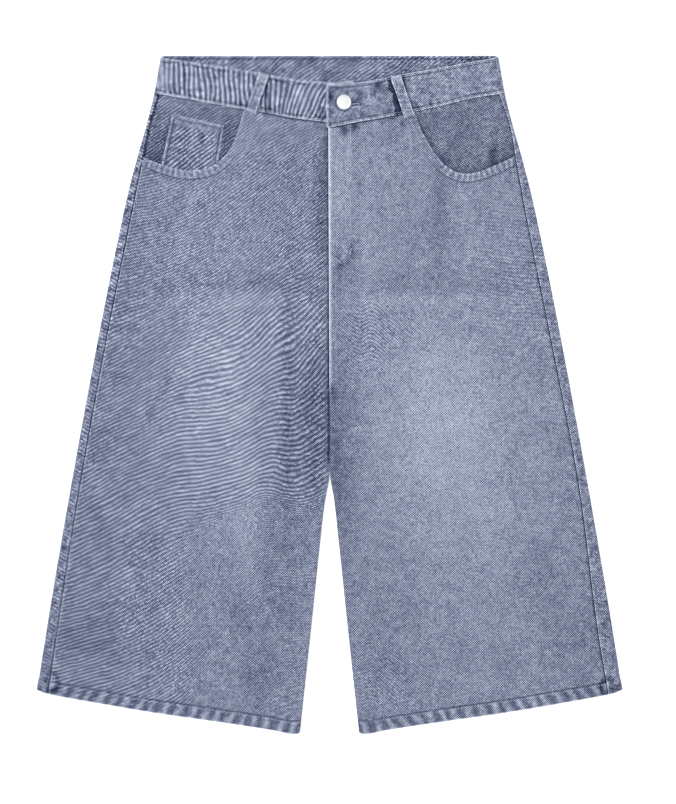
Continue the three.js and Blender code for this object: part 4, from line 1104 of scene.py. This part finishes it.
# Pitches, widths and reaches are in millimetres (twillPitch has one for each way), the rest are amounts of lightness
frontLook = {"base": 0.52, "rib": 0.17, "twillPitch": (1.66, 1.74), "twill": 0.36, "grain": 0.22, "streak": 0.15,
             "speck": 0.16, "patch": 0.016, "beat": 0.03, "ropePitch": 13.0, "hem": 12.0, "ropeReach": 12.0,
             "ropeWander": 1.6, "edge": 0.24, "worn": 1.5, "rope": 0.16, "groove": 0.24, "turn": 0.0}
bandLook = dict(frontLook, base=0.535, rib=0.21, twill=0.35, grain=0.3, speck=0.24, patch=0.04, beat=0.08, hem=2.6,
                ropeReach=7.5, ropeWander=0.7, rope=0.07, ropePitch=6.6, groove=0.28, worn=1.5, edge=0.32)
facingLook = dict(frontLook, base=0.435, rib=0.2, twill=0.4, grain=0.3, speck=0.2, hem=8.0, turn=0.2)
coinLook = dict(frontLook, base=0.465, rib=0.21, twill=0.32, grain=0.22, speck=0.16, patch=0.04, beat=0.08, hem=2.2,
                ropeReach=6.0, rope=0.07, ropePitch=5.0, groove=0.22, worn=1.3, edge=0.34, turn=0.3)
loopLook = dict(frontLook, base=0.56, rib=0.06, twill=0.3, grain=0.3, speck=0.26, patch=0.05, beat=0.10, hem=3.0,
                ropeReach=5.0, rope=0.05, ropePitch=5.5, groove=0.10, edge=0.32)
backLook = dict(frontLook, base=0.52, beat=0.09, twill=0.36, grain=0.26, speck=0.36, edge=0.3, worn=1.3)


def denim(name, look):
    b = Board(name)
    edge, seam, wear = b.note("hemAcross"), b.note("seamAcross"), b.note("wearAcross")
    along, seamAlong = b.note("hemAlong"), b.note("seamAlong")
    tone, phase, strength = b.note("tone"), b.note("ribPhase"), b.note("ribStrength")
    turn = look["turn"]
    # weave: fine twill lines that break up into dots, streaks of yarn and a grain of single threads
    wobble = b.noise(60, 0.3, (1, 1, 1), 2.0, 0.5)
    beat = b.noise(150, 0.6, (1, 1, 1), 2.0, 0.55)
    grain = b.noise(1050, 0.2, (1, 1, 1), 1.0, 0.6)
    streak = b.noise(900, math.radians(-45) + turn, (1, 0.3, 1), 1.0, 0.4)
    dashes = b.noise(520, 0.1, (0.6, 1, 1), 1.0, 0.5)
    patches = b.noise(36, 0.9, (1, 0.7, 1), 3.0, 0.6)
    lineA = b.add("ShaderNodeSeparateXYZ", {}, {0: b.place(math.radians(45) + turn)}, 0)
    lineB = b.add("ShaderNodeSeparateXYZ", {}, {0: b.place(math.radians(-46) + turn)}, 0)
    twillA = (lineA * (2 * math.pi / (look["twillPitch"][0] * mm)) + wobble * 1.3).sine()
    twillB = (lineB * (2 * math.pi / (look["twillPitch"][1] * mm)) - wobble * 1.1).sine()
    twill = (twillA * 0.75 + twillB * 0.45) * (beat * 0.3 + 0.9) * (1.0 - strength * 0.3) * look["twill"]
    ribWave = (phase * (2 * math.pi) + wobble * 0.5 + grain * 0.6 + dashes * 0.5).sine()
    ribLines = ribWave * strength * (dashes * 0.6 + 0.95) * look["rib"]
    threads = (grain * look["grain"] + streak * look["streak"] + dashes * look["speck"]) * (strength * 0.35 + 1) * 0.5
    # sewn edges: worn light at the very edge, ropy in the hem, dark along the sewing, with painted shade in the stitch
    # grooves and where one piece meets the next
    edgeWear = wear.between(look["worn"], 0.2) * (dashes * 0.4 + 0.8) * look["edge"]
    slant = (along + edge * 0.35) * (2 * math.pi / look["ropePitch"])
    rope = (slant + wobble * look["ropeWander"]).sine() * (beat * 0.5 + 0.8)
    inHem = edge.between(look["ropeReach"] + 0.6, look["ropeReach"] - 1.2)
    roping = rope * inHem * b.note("ropeStrength") * look["rope"] * -1
    sewnIn = (b.note("ropeStrength") * 0.7 + 0.3) * look["groove"]
    grooveDarkAndShade = edge.bell(look["hem"] + 0.8, 0.75) * sewnIn * (beat * 0.5 + 0.8)
    seamDarkAndShade = seam.between(1.5, 0.4) * (beat * 0.5 + 0.85) * 0.34 + seam.between(4, 0.5) * 0.07
    seamMottle = (seamAlong * (2 * math.pi / 13.5) + wobble * 1.8).sine() * seam.between(9, 1) * 0.04
    slubs = grain.between(1.2, 1.9) * 0.25
    light = (tone + look["base"] + slubs + ribLines + twill + threads + patches * look["patch"] + beat * look["beat"]
             + edgeWear + roping - grooveDarkAndShade - seamDarkAndShade + seamMottle)
    colour = b.add("ShaderNodeValToRGB", {"stops": wash}, {"Fac": light}, "Color")
    height = ribLines * 4 + twill * 4 + threads * 3 + roping * 3 - grooveDarkAndShade * 2
    bump = b.add("ShaderNodeBump", {}, {"Strength": 0.5, "Distance": 0.0004, "Height": height}, "Normal")
    return b.finish(Base_Color=colour, Roughness=0.92, Normal=bump, Sheen_Weight=0.1, Sheen_Roughness=0.5,
                    Specular_IOR_Level=0.18)


def threadMaterial():
    b = Board("cottonThread")
    twist = b.noise(1500, 0.7, (1, 0.3, 1), 1.0, 0.5)
    age = b.noise(70, 0.2, (1, 1, 1), 2.0, 0.5)
    light = age * 0.05 + twist * 0.05 + 0.70
    colour = b.add("ShaderNodeValToRGB", {"stops": wash}, {"Fac": light}, "Color")
    bump = b.add("ShaderNodeBump", {}, {"Strength": 0.4, "Distance": 0.0002, "Height": twist}, "Normal")
    return b.finish(Base_Color=colour, Roughness=0.75, Normal=bump, Specular_IOR_Level=0.25)


def metalMaterial(name, colour, rough, wear):
    b = Board(name)
    brushed = b.noise(900, 0.4, (1, 0.2, 1), 2.0, 0.6)
    scuffs = b.noise(260, 0.9, (1, 1, 1), 3.0, 0.6)
    tint = b.add("ShaderNodeMix", {"data_type": "RGBA"},
                 {"Factor": (scuffs * 0.5 + 0.4) * wear, "A": colour, "B": shade(120, 122, 130)}, "Result")
    bump = b.add("ShaderNodeBump", {}, {"Strength": 0.2, "Distance": 0.0002, "Height": brushed + scuffs}, "Normal")
    return b.finish(Base_Color=tint, Roughness=brushed * 0.05 + rough, Metallic=1.0, Normal=bump)


def tapeMaterial():
    b = Board("zipTapeWeave")
    rows = b.noise(800, 0.0, (1, 0.25, 1), 1.0, 0.5)
    tint = b.add("ShaderNodeMix", {"data_type": "RGBA"},
                 {"Factor": rows * 0.3 + 0.5, "A": shade(40, 44, 62), "B": shade(66, 72, 96)}, "Result")
    bump = b.add("ShaderNodeBump", {}, {"Strength": 0.5, "Distance": 0.0003, "Height": rows}, "Normal")
    return b.finish(Base_Color=tint, Roughness=0.9, Normal=bump, Specular_IOR_Level=0.2)


def dress(piece, material, slot, *nodes):
    piece.data.materials.clear()
    piece.data.materials.append(material)
    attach(piece, "root")
    if nodes:
        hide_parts(*nodes)
    return piece


# Camera straight above, the photograph's frame, and soft studio light
shot = {"centreX": 8.5, "centreY": -7.5, "level": 5.0, "frame": 804.0, "lens": 120.0, "sensor": 36.0}
studio = {"world": 0.73, "keyPower": 22.0, "keyPlace": (-1.0, 1.15, 1.7), "keySize": 1.6,
          "topPower": 9.0, "topPlace": (0.3, -0.2, 2.2), "topSize": 2.2}


def buildCamera():
    camera = bpy.data.objects.new("camera", bpy.data.cameras.new("camera"))
    bpy.context.scene.collection.objects.link(camera)
    camera.data.lens, camera.data.sensor_width, camera.data.sensor_fit = shot["lens"], shot["sensor"], "AUTO"
    camera.data.clip_end = 20
    away = shot["frame"] * shot["lens"] / shot["sensor"] + shot["level"]
    camera.location = (shot["centreX"] * mm, shot["centreY"] * mm, away * mm)
    bpy.context.scene.camera = camera


def softLight(name, power, place, size):
    lamp = bpy.data.lights.new(name, "AREA")
    lamp.shape, lamp.size, lamp.energy = "DISK", size, power
    lamp.color = (1.0, 0.995, 0.985)
    item = bpy.data.objects.new(name, lamp)
    item.location = place
    item.rotation_euler = (Vector((0, 0, 0)) - Vector(place)).to_track_quat("-Z", "Y").to_euler()
    bpy.context.scene.collection.objects.link(item)


def buildStudio():
    world = bpy.data.worlds.new("studio")
    bpy.context.scene.world = world
    world.use_nodes = True
    world.node_tree.nodes["Background"].inputs["Color"].default_value = (0.97, 0.985, 1, 1)
    world.node_tree.nodes["Background"].inputs["Strength"].default_value = studio["world"]
    softLight("keyLight", studio["keyPower"], studio["keyPlace"], studio["keySize"])
    softLight("topLight", studio["topPower"], studio["topPlace"], studio["topSize"])
    bpy.ops.object.select_all(action="DESELECT")
    bpy.ops.mesh.primitive_plane_add(size=12, location=(0, 0, -0.0002))
    floor = bpy.context.object
    floor.name = "floor"
    floor.location = (0, 0, 0)
    for vertex in floor.data.vertices:
        vertex.co.z = -0.0002
    b = Board("paleFloor")
    soft = b.noise(3, 0.0, (1, 1, 1), 2.0, 0.5)
    tint = b.add("ShaderNodeMix", {"data_type": "RGBA"},
                 {"Factor": soft * 0.2 + 0.5, "A": (0.96, 0.96, 0.96, 1), "B": (0.98, 0.98, 0.98, 1)}, "Result")
    floor.data.materials.append(b.finish(Base_Color=tint, Roughness=0.9, Specular_IOR_Level=0.1,
                                         Emission_Color=(1, 1, 1, 1), Emission_Strength=0.45))
    bpy.context.scene.view_settings.view_transform = "Standard"


print("camera and studio")
buildCamera()
buildStudio()

print("cloth")
fronts = {side: buildFront(side) for side in sides}
backs = {side: buildBack(side) for side in sides}
waistband = buildBand()
facings = {side: buildFacing(side) for side in sides}
coinPocket = buildCoin()
beltLoops = {side: buildLoop(side) for side in sides}
zipTape, zipChain = buildZipTape(), buildZipChain()

print("finishes")
frontDenim, bandDenim = denim("washedDenim", frontLook), denim("waistbandDenim", bandLook)
backDenim = denim("backDenim", backLook)
facingDenim, coinDenim = denim("facingDenim", facingLook), denim("coinPocketDenim", coinLook)
loopDenim = denim("loopDenim", loopLook)
cotton = threadMaterial()
nickel = metalMaterial("brightNickel", shade(252, 252, 253), 0.42, 0.06)
tape = tapeMaterial()
for side in sides:
    dress(fronts[side], frontDenim, "denim", "front_" + side)
    dress(backs[side], backDenim, "denim", "back_" + side)
    dress(facings[side], facingDenim, "facing_denim", "pocket_facing_" + side)
    dress(beltLoops[side], loopDenim, "denim", "belt_loop_" + side)
dress(waistband, bandDenim, "denim", "waistband")
dress(coinPocket, coinDenim, "facing_denim", "coin_pocket")
dress(zipTape, tape, "zip_tape", "zip")
dress(zipChain, metalMaterial("zipMetal", shade(168, 166, 160), 0.35, 0.2), "button_metal")
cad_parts["button"].data.materials.clear()
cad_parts["button"].data.materials.append(nickel)

print("sewing")
cut = {"hemStitch": 10.7, "scoopStitch": (1.9, 6.6), "bandStitch": 2.5, "jWidth": 20.5, "jGap": 1.8, "jTurn": 160,
       "jBottom": 129, "centre": (1.7, 5.8), "strip": 2.0}


def hemRun(side):
    edge = float(foldX(-300.0)) - 1.5
    x = np.linspace(float(innerX(side, -330.0)) + 1.2, edge, 90)
    return sided(side, zip(x, hemY(x) + cut["hemStitch"]))


def bandRun(side, top):
    x = np.linspace(band["tabEnd"] + 1.0 if side == "left" else 4.0, float(foldX(318.0)) - 4, 80)
    edge = bandTop[side](np.abs(x)) - cut["bandStitch"] if top else bandBottom[side](np.abs(x)) + cut["bandStitch"]
    return sided(side, zip(x, edge))


def scoopRun(side, depth):
    x, y, ox, oy, arc, corner = frontUpperEdge(side)
    px, py = (x + ox * depth)[corner:], (y + oy * depth)[corner:]
    return sided(side, list(zip(px, py))[1:-1])


def flyRun(offset):
    # straight down from the band, then round to the centre
    wide = cut["jWidth"] - offset
    bottom = cut["jBottom"] + offset
    startY = float(bandBottom["left"](wide)) - 1
    down = [(innerX("left", 200.0) + wide, y) for y in np.linspace(startY, cut["jTurn"], 60)]
    turn = np.linspace(0, math.pi / 2, 24)[1:]
    tall = cut["jTurn"] - bottom
    bend = [(innerX("left", 150.0) + wide * math.cos(t), cut["jTurn"] - tall * math.sin(t)) for t in turn]
    return down + bend


def centreRun(inset):
    y = np.linspace(cut["jBottom"] - 4, heights["crotchY"] + 6, 60)
    return list(zip(innerX("left", y) + inset, y))


def stripRun(side):
    y = np.linspace(262, -284, 160)
    return sided(side, zip(seamX(side, y) + cut["strip"], y))


def loopRun(side, across):
    v = np.linspace(0.03, 0.97, 20)
    return sided(side, zip(*loopPlace(side, v, across)))


body = list(fronts.values()) + list(backs.values())
everything = body + [waistband, coinPocket] + list(facings.values()) + list(beltLoops.values())
sewn = {}
sewn["hemStitches"] = sewStitches("hemStitches", [alongPath(hemRun(side), 3.3) for side in sides], body, seed=2)
sewn["bandStitches"] = sewStitches("bandStitches", [alongPath(bandRun(side, top), 3.2) for side in sides
                                                    for top in (True, False)], [waistband], seed=3)
sewn["scoopStitches"] = sewStitches("scoopStitches", [alongPath(scoopRun(side, depth), 3.0) for side in sides
                                                      for depth in cut["scoopStitch"]], body, seed=4)
sewn["flyStitches"] = sewStitches("flyStitches", [alongPath(flyRun(0), 2.9), alongPath(flyRun(cut["jGap"]), 2.9)]
                                  + [alongPath(centreRun(inset), 3.0) for inset in cut["centre"]], body, seed=5)
sewn["sideStitches"] = sewStitches("sideStitches", [alongPath(stripRun(side), 3.3) for side in sides], body, seed=6)
coinSides = [[coinPoint(u, v) for v in np.linspace(0.04, 0.97, 30)] for u in (0.03, 0.13, 0.87, 0.97)]
coinTopRows = [[coinPoint(u, v) for u in np.linspace(0.04, 0.96, 30)] for v in (0.04, 0.13)]
coinPaths = [sided("right", [(float(x), float(y)) for x, y in row]) for row in coinSides + coinTopRows]
sewn["coinStitches"] = sewStitches("coinStitches", [alongPath(path, 2.8) for path in coinPaths],
                                   [coinPocket, facings["right"]], length=2.1, radius=0.3, seed=7)
loopTacks = []
for side in sides:
    (ax, ay), (bx, by) = loops[side]
    turn = math.atan2(-(bx - ax) * sides[side], (by - ay))
    lean = math.atan2(by - ay, (bx - ax) * sides[side])
    for v in (0.035, 0.075, 0.925, 0.965):
        x, y = loopPlace(side, v, 0.0)
        loopTacks.append(tack(sides[side] * float(x), float(y), lean + math.pi / 2, 8.6))
sewn["loopStitches"] = sewStitches("loopStitches", [alongPath(loopRun(side, across), 2.8) for side in sides
                                                    for across in (-3.1, 3.1)] + loopTacks,
                                   list(beltLoops.values()), length=2.0, radius=0.3, seed=8)
tacks = [tack(183.2, 266.0, math.radians(-8), 7), tack(-183.2, 266.0, math.radians(8), 7),
         tack(9.0, 133.5, math.radians(-40), 7), tack(21.0, 143.0, math.radians(80), 6)]
sewn["barTacks"] = sewStitches("barTacks", tacks, body, length=1.9, radius=0.34, seed=9)
slitX = np.arange(band["slitFrom"] + 0.3, band["slitTo"] + 0.9, 0.62)
slitY = lerp(bandTop["left"](slitX), bandBottom["left"](slitX), band["slitShare"])
slitRows = [[(x, y + way * 1.5, math.radians(98)) for x, y in zip(slitX, slitY)] for way in (-1, 1)]
slitEnd = [(band["slitTo"] + 1.4, float(slitY[-1]) + 0.7 * k, 0.0) for k in (-2, -1, 0, 1, 2)]
sewn["buttonholeStitches"] = sewStitches("buttonholeStitches", slitRows + [slitEnd], [waistband], length=1.7,
                                         radius=0.3, seed=10)
for name, piece in sewn.items():
    dress(piece, cotton, "denim")
    print(name, len(piece.data.polygons))

print("sheets")


def clothArea(piece):
    return sum(face.area for face in piece.data.polygons) / 2


for piece in everything + [zipTape]:
    print(piece.name, len(piece.data.polygons) * 2, "triangles,", round(clothArea(piece), 5), "square metres")
